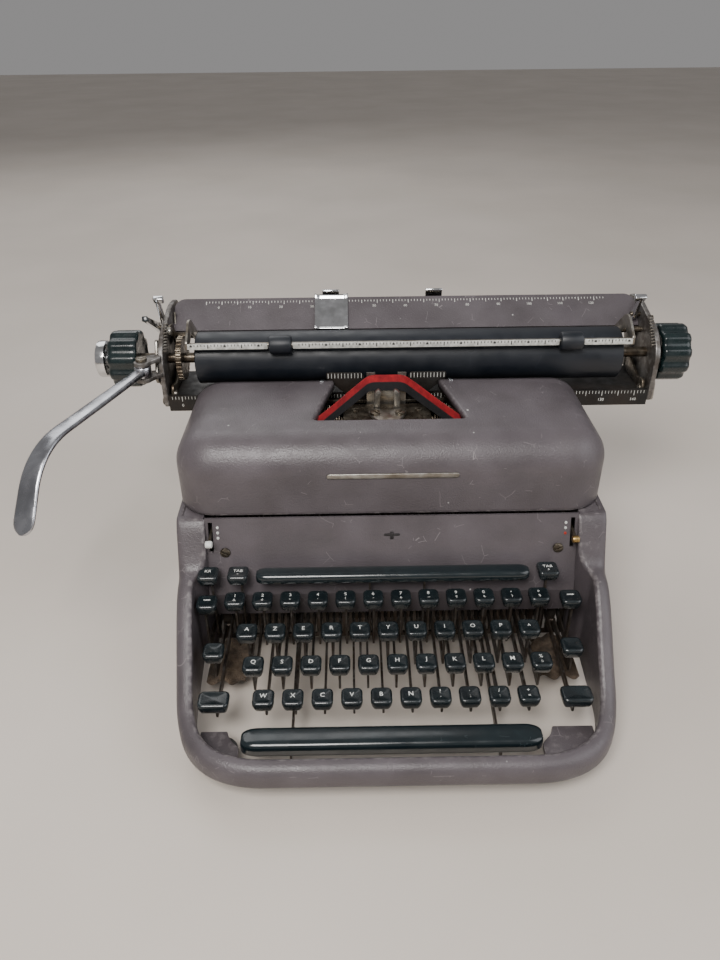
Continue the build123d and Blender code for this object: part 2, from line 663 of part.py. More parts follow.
with BuildPart() as shift_lock_keys:
    for lock in (LOCK_LEFT, LOCK_RIGHT):
        key_cap(lock["x"], LOCK_Y, LOCK_TOP_Z, stem_x=lock["lever"])
        stem_top = LOCK_TOP_Z - CAP_HEIGHT + STEM_GRIP - SNUG_GAP
        with BuildSketch(upright(lock["lever"] - LEVER_THICKNESS / 2)):
            with BuildLine():
                Polyline(
                    (LOCK_Y - STEM_DEPTH / 2, LOCK_PIVOT_Z - 3),
                    (LOCK_PIVOT_Y, LOCK_PIVOT_Z - 3),
                    (LOCK_PIVOT_Y, LOCK_PIVOT_Z + 3),
                    (LOCK_Y + STEM_DEPTH / 2, LOCK_PIVOT_Z + 3),
                    (LOCK_Y + STEM_DEPTH / 2, stem_top),
                    (LOCK_Y - STEM_DEPTH / 2, stem_top),
                    close=True,
                )
            make_face()
            with Locations((LOCK_PIVOT_Y, LOCK_PIVOT_Z)):
                Circle(3)
                Circle(LOCK_PIN_R + SNUG_GAP, mode=Mode.SUBTRACT)
        extrude(amount=LEVER_THICKNESS)
shift_lock_keys.part.label = "shift_lock_keys"
export_step(shift_lock_keys.part, "parts/shift_lock_keys.step")

# ---------------------------------------------------------------- comb and fulcrum shaft
ROW_LEVERS = [
    lever_x(row, number)
    for row in (NUMBER_ROW, UPPER_ROW, HOME_ROW, LOWER_ROW)
    for number in range(row["keys"])
]
SIDE_LEVERS = [
    piece["lever"]
    for piece in (BACKSPACE, MARGIN_RELEASE, MARGIN_SET, TAB_CLEAR, TAB_SET, SHIFT_LEFT, SHIFT_RIGHT)
]
COMB_HALF = 139.0
with BuildPart() as key_comb:
    block((-COMB_HALF, COMB_HALF), (COMB_Y, COMB_Y + COMB_THICKNESS), (16, 44))
    slot_half = LEVER_THICKNESS / 2 + SLOT_CLEARANCE
    for x in ROW_LEVERS + SIDE_LEVERS + list(TAB_BAR_LEVERS) + list(SPACE_LEVERS):
        block((x - slot_half, x + slot_half), (COMB_Y - 1, COMB_Y + 3), (19, 45), Mode.SUBTRACT)
    for side in (-1, 1):
        ear = sorted((side * (COMB_HALF - 2), side * (inner - PLATE_THICKNESS)))
        block(ear, (COMB_Y, COMB_Y + 20), (16, 22))
    rod((-tie_half, tie_half), FULCRUM_Y, FULCRUM_Z, FULCRUM_R)
key_comb.part.label = "key_comb"
export_step(key_comb.part, "parts/key_comb.step")

# ---------------------------------------------------------------- type basket
# The bars pivot on an arc about the printing point, in a plane that leans
# forward by BASKET_TILT, and lie level towards the typist.
lean = radians(BASKET_TILT)
basket_plane = Plane(
    origin=at(0, PRINT_Y, PRINT_Z), x_dir=(1, 0, 0), z_dir=(0, -cos(lean), sin(lean)),
)
bar_angles = [
    radians(-BAR_SPREAD + 2 * BAR_SPREAD * number / (TYPEBARS - 1)) for number in range(TYPEBARS)
]


def pivot(angle, radius=TYPE_RADIUS):
    """Width, depth and height of a pivot at an angle from the middle bar."""
    drop = radius * cos(angle)
    return (radius * sin(angle), PRINT_Y - drop * sin(lean), PRINT_Z - drop * cos(lean))


BAR_HEIGHT = 4.0
with BuildPart() as type_segment:
    with BuildSketch(basket_plane):
        Circle(TYPE_RADIUS + SEGMENT_HALF_BAND)
        Circle(TYPE_RADIUS - SEGMENT_HALF_BAND, mode=Mode.SUBTRACT)
        reach = TYPE_RADIUS * 2
        edge = radians(90 - BAR_SPREAD - 5)
        with BuildLine():
            Polyline(
                (0, 0), (reach * cos(edge), -reach * sin(edge)), (reach, reach), (-reach, reach),
                (-reach * cos(edge), -reach * sin(edge)), close=True,
            )
        make_face(mode=Mode.SUBTRACT)
    extrude(amount=SEGMENT_THICKNESS / 2, both=True)
    for angle in bar_angles:
        x, y, z = pivot(angle)
        block(
            (x - BAR_SLOT / 2, x + BAR_SLOT / 2), (y - 16, y + 4.5),
            (z - BAR_HEIGHT / 2 - 0.2, z + 14), Mode.SUBTRACT,
        )
type_segment.part.label = "type_segment"
export_step(type_segment.part, "parts/type_segment.step")

with BuildPart() as typebars:
    for angle in bar_angles:
        x, y, z = pivot(angle)
        half = BAR_THICKNESS / 2
        block((x - half, x + half), (y - TYPE_RADIUS, y + 3), (z - BAR_HEIGHT / 2, z + BAR_HEIGHT / 2))
        block((x - 0.65, x + 0.65), (y - TYPE_RADIUS - 3, y - TYPE_RADIUS), (z - 4, z + 5))
typebars.part.label = "typebars"
export_step(typebars.part, "parts/typebars.step")

# ---------------------------------------------------------------- type guide and ribbon
GUIDE_Z = 156.0
GAUGE_Y = 244.6
with BuildPart() as type_guide:
    block((-32, 32), (190, GAUGE_Y + 1.2), (GUIDE_Z, GUIDE_Z + 2.4))
    block((-46, 46), (GAUGE_Y - 2, GAUGE_Y + 1.2), (GUIDE_Z, GUIDE_Z + 2.4))
    block((-17, 17), (237.6, 242.4), (GUIDE_Z - 1, GUIDE_Z + 3), Mode.SUBTRACT)
    block((-9.5, 9.5), (224, 229), (GUIDE_Z + 2.4, 175))
    block((-5.5, 5.5), (223, 230), (163, 176), Mode.SUBTRACT)
    for side in (-1, 1):
        block(sorted((side * 16, side * 46)), (GAUGE_Y, GAUGE_Y + 1.2), (GUIDE_Z + 2.4, 181))
        post(side * 10.2, 213, (GUIDE_Z + 2.4, GUIDE_Z + 4.4), 3.6)
    with BuildSketch(level(GUIDE_Z + 2.4)):
        with Locations((0, 216)):
            RegularPolygon(9, 3, rotation=-90)
    extrude(amount=3.2)
type_guide.part.label = "type_guide"
export_step(type_guide.part, "parts/type_guide.step")

with BuildPart() as ribbon_vibrator:
    block((-15, 15), (239.4, 240.6), (148, 183))
    block((-8.5, 8.5), (239, 241), (168, 184), Mode.SUBTRACT)
ribbon_vibrator.part.label = "ribbon_vibrator"
export_step(ribbon_vibrator.part, "parts/ribbon_vibrator.step")

RIBBON_HEIGHT = 13.0
RIBBON_THICKNESS = 0.5
RIBBON_PATH = (             # lower edge of the ribbon, spool to spool
    (-90, SPOOL_Y - SPOOL_R - 1, 146), (-64, 177, 153), (-13, 237.8, 169),
    (13, 237.8, 169), (64, 177, 153), (90, SPOOL_Y - SPOOL_R - 1, 146),
)
with BuildPart() as ribbon:
    for start, end in zip(RIBBON_PATH, RIBBON_PATH[1:]):
        run = (end[0] - start[0], end[1] - start[1])
        length = (run[0] ** 2 + run[1] ** 2) ** 0.5
        along = (run[0] / length, run[1] / length, 0)
        facing_out = (along[1], -along[0], 0)
        with BuildSketch(Plane(origin=at(*start), x_dir=along, z_dir=facing_out)):
            with BuildLine():
                rise = end[2] - start[2]
                Polyline(
                    (-0.2, 0), (length + 0.2, rise), (length + 0.2, rise + RIBBON_HEIGHT),
                    (-0.2, RIBBON_HEIGHT), close=True,
                )
            make_face()
        extrude(amount=RIBBON_THICKNESS / 2, both=True)
ribbon.part.label = "ribbon"
export_step(ribbon.part, "parts/ribbon.step")


def spool(x):
    """Ribbon spool with its flanges, on its spindle."""
    post(x, SPOOL_Y, (SPOOL_Z, SPOOL_Z + 1.2), SPOOL_R)
    post(x, SPOOL_Y, (SPOOL_Z + 1.2, SPOOL_Z + SPOOL_HEIGHT - 1.2), SPOOL_R - 4)
    post(x, SPOOL_Y, (SPOOL_Z + SPOOL_HEIGHT - 1.2, SPOOL_Z + SPOOL_HEIGHT), SPOOL_R)
    bore = (SPOOL_Z - 1, SPOOL_Z + SPOOL_HEIGHT + 1)
    post(x, SPOOL_Y, bore, SPINDLE_R + SNUG_GAP, Mode.SUBTRACT)


with BuildPart() as spool_left:
    spool(-SPOOL_X)
spool_left.part.label = "spool_left"
export_step(spool_left.part, "parts/spool_left.step")

with BuildPart() as spool_right:
    spool(SPOOL_X)
spool_right.part.label = "spool_right"
export_step(spool_right.part, "parts/spool_right.step")

# ---------------------------------------------------------------- levers in the front plate
SELECTOR_PIVOT_Y = 172.0
SELECTOR_Z = 108.0


def plate_lever(x):
    """Flat lever through a slot of the front plate, on a pin inside the casing."""
    with BuildSketch(upright(x - 0.8)) as profile:
        with BuildLine():
            Polyline(
                (PLATE_CREASE_Y + 3.5, SELECTOR_Z - 2), (SELECTOR_PIVOT_Y, SELECTOR_Z - 3),
                (SELECTOR_PIVOT_Y, SELECTOR_Z + 3), (PLATE_CREASE_Y + 3.5, SELECTOR_Z + 2), close=True,
            )
        make_face()
        with Locations((SELECTOR_PIVOT_Y, SELECTOR_Z)):
            Circle(4)
    extrude(profile.sketch, amount=1.6)
    rod((x - 2.4, x + 2.4), PLATE_CREASE_Y + 3.5, SELECTOR_Z, 2.6)


with BuildPart() as ribbon_selector:
    plate_lever(-SLOT_X)
ribbon_selector.part.label = "ribbon_selector"
export_step(ribbon_selector.part, "parts/ribbon_selector.step")

with BuildPart() as touch_lever:
    plate_lever(SLOT_X)
touch_lever.part.label = "touch_lever"
export_step(touch_lever.part, "parts/touch_lever.step")


# ---------------------------------------------------------------- top cover
def cover_body(inset):
    """Rounded block of the cover's outer form, shrunk by inset on every closed side."""
    with BuildSketch(level(SEAM_Z + RUNNING_GAP - inset)) as plan:
        with Locations((0, (COVER_FRONT_Y + COVER_BACK_Y) / 2)):
            Rectangle(2 * (BODY_HALF_WIDTH - inset), COVER_BACK_Y - COVER_FRONT_Y - 2 * inset)
        fillet(plan.vertices().group_by(Axis.Y)[0], COVER_CORNER_R - inset)
    extrude(plan.sketch, amount=COVER_TOP_Z - SEAM_Z - RUNNING_GAP)


with BuildPart() as cover_hollow:
    cover_body(COVER_WALL)
    roof = cover_hollow.edges().group_by(Axis.Z)[-1]
    fillet(roof.sort_by(Axis.Y)[:-1], COVER_EDGE_R - COVER_WALL)
with BuildPart() as top_cover:
    cover_body(0)
    roof = top_cover.edges().group_by(Axis.Z)[-1]
    fillet(roof.sort_by(Axis.Y)[:-1], COVER_EDGE_R)
    add(cover_hollow.part, mode=Mode.SUBTRACT)
    add(cover_hollow.part.moved(Location((0, COVER_WALL + 1, 0))), mode=Mode.SUBTRACT)
    with BuildSketch(level(COVER_TOP_Z - COVER_EDGE_R)):
        with BuildLine():
            Polyline(
                (-WINDOW_FRONT_HALF, WINDOW_FRONT_Y), (WINDOW_FRONT_HALF, WINDOW_FRONT_Y),
                (WINDOW_BACK_HALF, COVER_BACK_Y + 1), (-WINDOW_BACK_HALF, COVER_BACK_Y + 1),
                close=True,
            )
        window = make_face()
        fillet(window.vertices().group_by(Axis.Y)[0], WINDOW_CORNER_R)
    extrude(amount=COVER_EDGE_R + 2, mode=Mode.SUBTRACT)
    for side in (-1, 1):
        rod(sorted((side * HINGE_X[0], side * HINGE_X[1])), HINGE_Y, HINGE_Z, HINGE_R)
top_cover.part.label = "top_cover"
export_step(top_cover.part, "parts/top_cover.step")

# ---------------------------------------------------------------- carriage
with BuildPart() as carriage_frame:
    span = (cam(-PLATE_INNER), cam(PLATE_INNER))
    block(span, (BED_FRONT_Y, BED_BACK_Y), (BED_Z, BED_Z + BED_THICKNESS))
    # front scale bar, hanging ahead of the bed
    block(span, (249.5, BED_FRONT_Y), (BED_Z, BED_Z + 3))
    block(span, (249.5, 252.5), (BED_Z - 2, BED_Z + 11))
    # lips that run beside the rail
    lip = RAIL_HALF_WIDTH + RUNNING_GAP
    block(span, (RAIL_Y - lip - 4, RAIL_Y - lip), (BED_Z - 8, BED_Z))
    block(span, (RAIL_Y + lip, RAIL_Y + lip + 4), (BED_Z - 8, BED_Z))
    # rail that carries the margin stops
    half = STOP_RAIL_SIZE / 2
    block(span, (STOP_RAIL_Y - half, STOP_RAIL_Y + half), (STOP_RAIL_Z - half, STOP_RAIL_Z + half))
carriage_frame.part.label = "carriage_frame"
export_step(carriage_frame.part, "parts/carriage_frame.step")

END_FOOT_Z = BED_Z + 0.2     # clears the rail that the carriage slides on
END_OUTLINE = (
    (249, END_FOOT_Z), (308, END_FOOT_Z), (328, 190), (328, 213), (306, 216), (262, 205), (249, 192),
)


def end_plate(start):
    """Cast end plate of the carriage, drilled for the platen shaft and the bail pins."""
    with BuildSketch(upright(start)) as outline:
        with BuildLine():
            Polyline(*END_OUTLINE, close=True)
        make_face()
        with Locations((PLATEN_Y, PLATEN_Z)):
            Circle(SHAFT_R + SNUG_GAP, mode=Mode.SUBTRACT)
    extrude(outline.sketch, amount=PLATE_WALL)


with BuildPart() as left_end_plate:
    end_plate(cam(-PLATE_INNER - PLATE_WALL))
    # clevis that holds the return lever, with its pivot pin
    plate_face = cam(-PLATE_INNER - PLATE_WALL)
    for ear_z in (HUB_Z - 8.2, HUB_Z + 4.6):
        block((HUB_X, plate_face + 1), (HUB_Y - 6, HUB_Y + 14), (ear_z, ear_z + 3.6))
        post(HUB_X, HUB_Y, (ear_z, ear_z + 3.6), 6)
    post(HUB_X, HUB_Y, (HUB_Z - 8.2, HUB_Z + 9), 2.5)
    rod((cam(-PLATE_INNER - 1), cam(-BAIL_ARM_X + 1)), BAIL_PIVOT_Y, BAIL_PIVOT_Z, 2.5)
    # studs for the two levers outside the plate
    rod((cam(-PLATE_INNER - 14), cam(-PLATE_INNER - 3)), 296, 200, 2)
left_end_plate.part.label = "left_end_plate"
export_step(left_end_plate.part, "parts/left_end_plate.step")

with BuildPart() as right_end_plate:
    end_plate(cam(PLATE_INNER))
    rod((cam(BAIL_ARM_X - 1), cam(PLATE_INNER + 1)), BAIL_PIVOT_Y, BAIL_PIVOT_Z, 2.5)
    rod((cam(PLATE_INNER - 8), cam(PLATE_INNER + 1)), 296, 206, 2)
right_end_plate.part.label = "right_end_plate"
export_step(right_end_plate.part, "parts/right_end_plate.step")

TABLE_HALF = PLATE_INNER - 0.2
with BuildPart() as paper_table:
    run_y = TABLE_HIGH[0] - TABLE_LOW[0]
    run_z = TABLE_HIGH[1] - TABLE_LOW[1]
    table_length = (run_y ** 2 + run_z ** 2) ** 0.5
    slope = (0, run_y / table_length, run_z / table_length)
    table_plane = Plane(
        origin=at(cam(0), *TABLE_LOW), x_dir=(1, 0, 0), z_dir=(0, -slope[2], slope[1]),
    )
    with BuildSketch(table_plane):
        with Locations((0, table_length / 2)):
            table_face = Rectangle(2 * TABLE_HALF, table_length)
        fillet(table_face.vertices().group_by(Axis.Y)[-1], 9)
    extrude(amount=-TABLE_THICKNESS)
    # brackets down to the carriage bed
    for side in (-1, 1):
        bracket = sorted((cam(side * 150), cam(side * 146)))
        block(bracket, (300, 306), (BED_Z + BED_THICKNESS, 201))
paper_table.part.label = "paper_table"
export_step(paper_table.part, "parts/paper_table.step")

with BuildPart() as platen:
    rod((cam(-PLATEN_HALF), cam(PLATEN_HALF)), PLATEN_Y, PLATEN_Z, PLATEN_R)
    fillet(platen.edges(), 1)
    rod((cam(-PLATEN_HALF - 1), cam(PLATEN_HALF + 1)), PLATEN_Y, PLATEN_Z, SHAFT_R, Mode.SUBTRACT)
platen.part.label = "platen"
export_step(platen.part, "parts/platen.step")

RATCHET_TEETH = 30
RATCHET_R = 17.5
with BuildPart() as platen_shaft:
    rod((cam(LEFT_KNOB_X - KNOB_WIDTH + 6), cam(RIGHT_KNOB_X + KNOB_WIDTH - 4)), PLATEN_Y, PLATEN_Z, SHAFT_R)
    with BuildSketch(upright(cam(-PLATEN_HALF - 15))):
        with Locations((PLATEN_Y, PLATEN_Z)):
            Circle(RATCHET_R)
            with PolarLocations(RATCHET_R, RATCHET_TEETH):
                Circle(1.3, mode=Mode.SUBTRACT)
    extrude(amount=4)
platen_shaft.part.label = "platen_shaft"
export_step(platen_shaft.part, "parts/platen_shaft.step")

KNOB_LOBES = 10


def knob(start):
    """Lobed platen knob with a rounded rim."""
    with BuildSketch(upright(start)) as outline:
        with Locations((PLATEN_Y, PLATEN_Z)):
            Circle(KNOB_R)
            with PolarLocations(KNOB_R + 3.2, KNOB_LOBES):
                Circle(5, mode=Mode.SUBTRACT)
            Circle(SHAFT_R, mode=Mode.SUBTRACT)
    extrude(outline.sketch, amount=KNOB_WIDTH)


with BuildPart() as knob_left:
    knob(cam(LEFT_KNOB_X - KNOB_WIDTH))
    outer = cam(LEFT_KNOB_X - KNOB_WIDTH)
    rod((outer - 1, outer + 6), PLATEN_Y, PLATEN_Z, 8, Mode.SUBTRACT)
knob_left.part.label = "knob_left"
export_step(knob_left.part, "parts/knob_left.step")

with BuildPart() as knob_right:
    knob(cam(RIGHT_KNOB_X))
knob_right.part.label = "knob_right"
export_step(knob_right.part, "parts/knob_right.step")

with BuildPart() as knob_button:
    face_x = cam(LEFT_KNOB_X - KNOB_WIDTH)
    rod((face_x - 12, face_x - 3.5), PLATEN_Y, PLATEN_Z, 14.5)
    fillet(knob_button.edges().group_by(Axis.X)[0], 3)
    rod((face_x - 3.5, face_x + 2), PLATEN_Y, PLATEN_Z, 7.5)
knob_button.part.label = "knob_button"
export_step(knob_button.part, "parts/knob_button.step")

# ---------------------------------------------------------------- paper bail
ROLLER_HALF = 8.5
ROLLERS = (-98.0, 122.0)    # from the carriage's middle
with BuildPart() as paper_bail:
    rod((cam(-BAIL_ARM_X), cam(BAIL_ARM_X)), BAIL_Y, BAIL_Z, BAIL_ROD_R)
    for side in (-1, 1):
        arm_start = cam(side * BAIL_ARM_X) - 1
        with BuildSketch(upright(arm_start)):
            with BuildLine():
                Polyline(
                    (BAIL_Y, BAIL_Z - 4), (BAIL_Y + 18, BAIL_Z + 6), (BAIL_PIVOT_Y - 2, BAIL_PIVOT_Z - 3.5),
                    (BAIL_PIVOT_Y + 2, BAIL_PIVOT_Z + 3.5), (BAIL_Y + 20, BAIL_Z + 14),
                    (BAIL_Y, BAIL_Z + 4), close=True,
                )
            make_face()
            with Locations((BAIL_Y, BAIL_Z)):
                Circle(4)
            with Locations((BAIL_PIVOT_Y, BAIL_PIVOT_Z)):
                Circle(4.2)
                Circle(2.5 + SNUG_GAP, mode=Mode.SUBTRACT)
        extrude(amount=2)
    # the scale strip stands on the rod between the rollers
    clear = ROLLER_HALF + 1
    stretches = (
        (-BAIL_ARM_X, ROLLERS[0] - clear), (ROLLERS[0] + clear, ROLLERS[1] - clear),
        (ROLLERS[1] + clear, BAIL_ARM_X),
    )
    for start, end in stretches:
        block((cam(start), cam(end)), (BAIL_Y - 2.4, BAIL_Y - 1.2), (BAIL_Z - 3.2, BAIL_Z + 3.2))
paper_bail.part.label = "paper_bail"
export_step(paper_bail.part, "parts/paper_bail.step")

with BuildPart() as bail_rollers:
    for middle in ROLLERS:
        width = (cam(middle - ROLLER_HALF), cam(middle + ROLLER_HALF))
        rod(width, BAIL_Y, BAIL_Z, BAIL_ROLLER_R)
        rod(width, BAIL_Y, BAIL_Z, BAIL_ROD_R + SNUG_GAP, Mode.SUBTRACT)
bail_rollers.part.label = "bail_rollers"
export_step(bail_rollers.part, "parts/bail_rollers.step")

# ---------------------------------------------------------------- paper guide and margin stops
GUIDE_X = -60.4             # from the carriage's middle
GUIDE_WIDTH = 27.0
with BuildPart() as paper_guide:
    with BuildSketch(table_plane.offset(RUNNING_GAP)):
        with Locations((GUIDE_X, table_length / 2 + 1)):
            Rectangle(GUIDE_WIDTH, table_length + 2)
    extrude(amount=1.2)
paper_guide.part.label = "paper_guide"
export_step(paper_guide.part, "parts/paper_guide.step")

STOP_WIDTH = 15.0


def margin_stop(x):
    """Stop that saddles the stop rail, with its finger tab."""
    inside = STOP_RAIL_SIZE / 2 + RUNNING_GAP
    outside = inside + 2
    width = (cam(x - STOP_WIDTH / 2), cam(x + STOP_WIDTH / 2))
    block(width, (STOP_RAIL_Y - outside, STOP_RAIL_Y + outside), (STOP_RAIL_Z - 4, STOP_RAIL_Z + outside))
    block(width, (STOP_RAIL_Y - inside, STOP_RAIL_Y + inside), (STOP_RAIL_Z - 5, STOP_RAIL_Z + inside),
          Mode.SUBTRACT)
    block(width, (STOP_RAIL_Y, STOP_RAIL_Y + 2), (STOP_RAIL_Z + outside, STOP_RAIL_Z + 15))


STOPS = (-61.0, 24.0)
with BuildPart() as margin_stop_left:
    margin_stop(STOPS[0])
margin_stop_left.part.label = "margin_stop_left"
export_step(margin_stop_left.part, "parts/margin_stop_left.step")

with BuildPart() as margin_stop_right:
    margin_stop(STOPS[1])
margin_stop_right.part.label = "margin_stop_right"
export_step(margin_stop_right.part, "parts/margin_stop_right.step")

# ---------------------------------------------------------------- return lever
ELBOW = (-228.0, 131.0, 182.0)
PADDLE_TIP = (-235.0, 99.0, 138.0)
ARM_WIDTH = 14.0
ARM_THICKNESS = 5.0
with BuildPart() as return_lever:
    post(HUB_X, HUB_Y, (HUB_Z - 4.2, HUB_Z + 4.2), 6.4)
    hub = Vector(*at(HUB_X, HUB_Y, HUB_Z))
    elbow = Vector(*at(*ELBOW))
    tip = Vector(*at(*PADDLE_TIP))
    arm_direction = (elbow - hub).normalized()
    across = arm_direction.cross(tip - elbow).normalized()
    with BuildLine() as lever_path:
        FilletPolyline(hub + arm_direction * 3, elbow, tip, radius=22)
    with BuildSketch(Plane(origin=hub + arm_direction * 3, x_dir=across, z_dir=arm_direction)):
        RectangleRounded(ARM_WIDTH, ARM_THICKNESS, 1.5)
    sweep(path=lever_path.wires()[0])
    post(HUB_X, HUB_Y, (HUB_Z - 5, HUB_Z + 5), 2.5 + SNUG_GAP, Mode.SUBTRACT)
return_lever.part.label = "return_lever"
export_step(return_lever.part, "parts/return_lever.step")


# ---------------------------------------------------------------- small carriage levers
def carriage_lever(start, width, foot, head, bore):
    """Flat lever from its pivot up to a rounded tab; foot and head are depth and height."""
    with BuildSketch(upright(start)) as outline:
        with BuildLine():
            Polyline(
                (foot[0] - 3.5, foot[1]), (foot[0] + 3.5, foot[1]),
                (head[0] + 2.5, head[1]), (head[0] - 2.5, head[1]), close=True,
            )
        make_face()
        with Locations(foot):
            Circle(4.5)
            Circle(bore + SNUG_GAP, mode=Mode.SUBTRACT)
        with Locations(head):
            Circle(4)
    extrude(outline.sketch, amount=width)


with BuildPart() as platen_release_lever:
    carriage_lever(cam(-PLATE_INNER - PLATE_WALL - 3.5), 3, (296, 200), (284, 226), 2)
platen_release_lever.part.label = "platen_release_lever"
export_step(platen_release_lever.part, "parts/platen_release_lever.step")

with BuildPart() as line_space_lever:
    carriage_lever(cam(-PLATE_INNER - PLATE_WALL - 8.5), 3, (296, 200), (262, 219), 2)
line_space_lever.part.label = "line_space_lever"
export_step(line_space_lever.part, "parts/line_space_lever.step")

with BuildPart() as paper_release_lever:
    carriage_lever(cam(PLATE_INNER - 6.5), 3, (296, 206), (286, 222), 2)
paper_release_lever.part.label = "paper_release_lever"
export_step(paper_release_lever.part, "parts/paper_release_lever.step")
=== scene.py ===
"""Desk typewriter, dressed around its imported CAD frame.

Sizes in the classes are millimetres: widths from the body's middle plane (or
from the carriage's own middle), depths from the front edge of the keyboard
rim and heights from the desk. A Place turns them into metres in the frame.
"""
from __future__ import annotations

import logging
import math
from dataclasses import dataclass
from enum import Enum
from typing import Callable, Optional, Sequence

import bpy
import numpy as np
from mathutils import Matrix, Vector


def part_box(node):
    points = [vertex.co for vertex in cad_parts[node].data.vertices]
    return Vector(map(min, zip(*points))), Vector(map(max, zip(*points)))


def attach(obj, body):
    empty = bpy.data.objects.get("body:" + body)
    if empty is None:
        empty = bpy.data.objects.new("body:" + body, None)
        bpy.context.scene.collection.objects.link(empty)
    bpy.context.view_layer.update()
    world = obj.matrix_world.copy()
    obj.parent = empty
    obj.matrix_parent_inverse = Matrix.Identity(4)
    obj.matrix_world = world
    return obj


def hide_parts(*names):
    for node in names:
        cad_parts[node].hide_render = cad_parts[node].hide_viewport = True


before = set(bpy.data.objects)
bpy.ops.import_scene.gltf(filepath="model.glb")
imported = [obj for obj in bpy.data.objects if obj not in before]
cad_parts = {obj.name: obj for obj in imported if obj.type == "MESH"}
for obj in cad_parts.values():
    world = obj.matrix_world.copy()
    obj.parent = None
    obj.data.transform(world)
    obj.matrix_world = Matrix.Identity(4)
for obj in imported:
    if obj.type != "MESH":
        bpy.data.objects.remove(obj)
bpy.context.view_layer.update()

Array = np.ndarray
Point = tuple[float, float, float]
Colour = tuple[float, float, float]
Socket = bpy.types.NodeSocket
log = logging.getLogger("typewriter")
MM = 0.001
UP = (0.0, 0.0, 1.0)
TINY = 1e-9
CARRIAGE_RIGHT = 18.2    # how far right of the body's middle the carriage rests
CHARACTER = 2.54         # width of one character on the scales


# ------------------------------------------------------------------ curves and outlines
def unit(rows: Array) -> Array:
    """Vectors in rows, each divided by its length."""
    return rows / np.maximum(np.linalg.norm(rows, axis=-1, keepdims=True), TINY)


def square_to(line: Array) -> Array:
    """Unit normals on the left of a flat line, at each of its points."""
    tangent = unit(np.gradient(line, axis=0))
    return np.stack([-tangent[:, 1], tangent[:, 0]], 1)


def ring_points(radius: float, sides: int) -> Array:
    """Points evenly spaced round a circle about the origin."""
    angle = np.linspace(0, 2 * math.pi, sides, endpoint=False)
    return radius * np.stack([np.cos(angle), np.sin(angle)], 1)


def rounded(points: Sequence[Sequence[float]], radii: Sequence[float] | float,
            steps: int = 5, closed: bool = True) -> Array:
    """Polyline whose corners are eased by quadratic curves.

    Each corner P gives way to (1-t)^2 A + 2t(1-t) P + t^2 B, where A and B
    stand the corner's radius away from P along its two runs.

    Args:
        points: corners, in two or three dimensions.
        radii: reach of each corner's curve, or one value for all.
        steps: points on each curve.
        closed: whether the last corner runs on to the first.

    Returns:
        The eased line, one row a point.
    """
    corners = np.asarray(points, float)
    reach = np.broadcast_to(np.asarray(radii, float), (len(corners),))
    back, ahead = np.roll(corners, 1, 0) - corners, np.roll(corners, -1, 0) - corners
    shorter = np.minimum(np.linalg.norm(back, axis=1), np.linalg.norm(ahead, axis=1))
    size = np.minimum(reach, 0.49 * shorter)
    if not closed:
        size[[0, -1]] = 0.0
    start = corners + unit(back) * size[:, None]
    end = corners + unit(ahead) * size[:, None]
    t = np.linspace(0, 1, steps)[None, :, None]
    curve = (1 - t) ** 2 * start[:, None] + 2 * t * (1 - t) * corners[:, None] + t**2 * end[:, None]
    line = curve.reshape(-1, corners.shape[1])
    line = line[np.r_[True, np.linalg.norm(np.diff(line, axis=0), axis=1) > 1e-6]]
    if closed and np.linalg.norm(line[0] - line[-1]) < 1e-6:
        line = line[:-1]
    return line


def resample(line: Array, count: int) -> Array:
    """Points evenly spaced by length along an open line."""
    length = np.r_[0, np.cumsum(np.linalg.norm(np.diff(line, axis=0), axis=1))]
    at = np.linspace(0, length[-1], count)
    return np.stack([np.interp(at, length, line[:, k]) for k in range(line.shape[1])], 1)


def rounded_rectangle(width: float, depth: float, radius: float, arc_steps: int = 5,
                      side_steps: int = 3) -> Array:
    """Closed outline of a rectangle with round corners, centred on the origin.

    Corner arcs are circles of the radius about points one radius inside the
    corners; each straight side is divided evenly, so outlines of any size
    have the same number of points.
    """
    radius = min(radius, width / 2 - 1e-3, depth / 2 - 1e-3)
    turn = np.linspace(0, math.pi / 2, arc_steps)
    rows = []
    for quarter, (sx, sy) in enumerate(((1, 1), (-1, 1), (-1, -1), (1, -1))):
        centre = np.array([sx * (width / 2 - radius), sy * (depth / 2 - radius)])
        angle = turn + quarter * math.pi / 2
        rows.append(centre + radius * np.stack([np.cos(angle), np.sin(angle)], 1))
    line = []
    for quarter in range(4):
        arc, following = rows[quarter], rows[(quarter + 1) % 4]
        share = np.linspace(0, 1, side_steps + 2)[1:-1, None]
        line += [arc, arc[-1] * (1 - share) + following[0] * share]
    return np.concatenate(line)


def inset(outline: Array, distance: float) -> Array:
    """Closed outline moved inwards along the mean normal at each of its points."""
    ahead, back = unit(np.roll(outline, -1, 0) - outline), unit(outline - np.roll(outline, 1, 0))
    tangent = unit(ahead + back)
    x, y = outline[:, 0], outline[:, 1]
    area = np.sum(x * np.roll(y, -1) - y * np.roll(x, -1))
    normal = np.stack([-tangent[:, 1], tangent[:, 0]], 1) * np.sign(area)
    miter = np.clip(np.sum(tangent * ahead, 1), 0.5, 1.0)
    return outline + normal * (distance / miter)[:, None]


class Along(Enum):
    """Axis that a prism or a turned piece runs along."""

    X = 0
    Y = 1
    Z = 2


def spread(axis: Along, along: float, flat: Array) -> Array:
    """Flat points raised to three dimensions, `along` being their place on the axis."""
    column = np.full(len(flat), along)
    if axis is Along.X:
        return np.stack([column, flat[:, 0], flat[:, 1]], 1)
    if axis is Along.Y:
        return np.stack([flat[:, 0], column, flat[:, 1]], 1)
    return np.stack([flat[:, 0], flat[:, 1], column], 1)


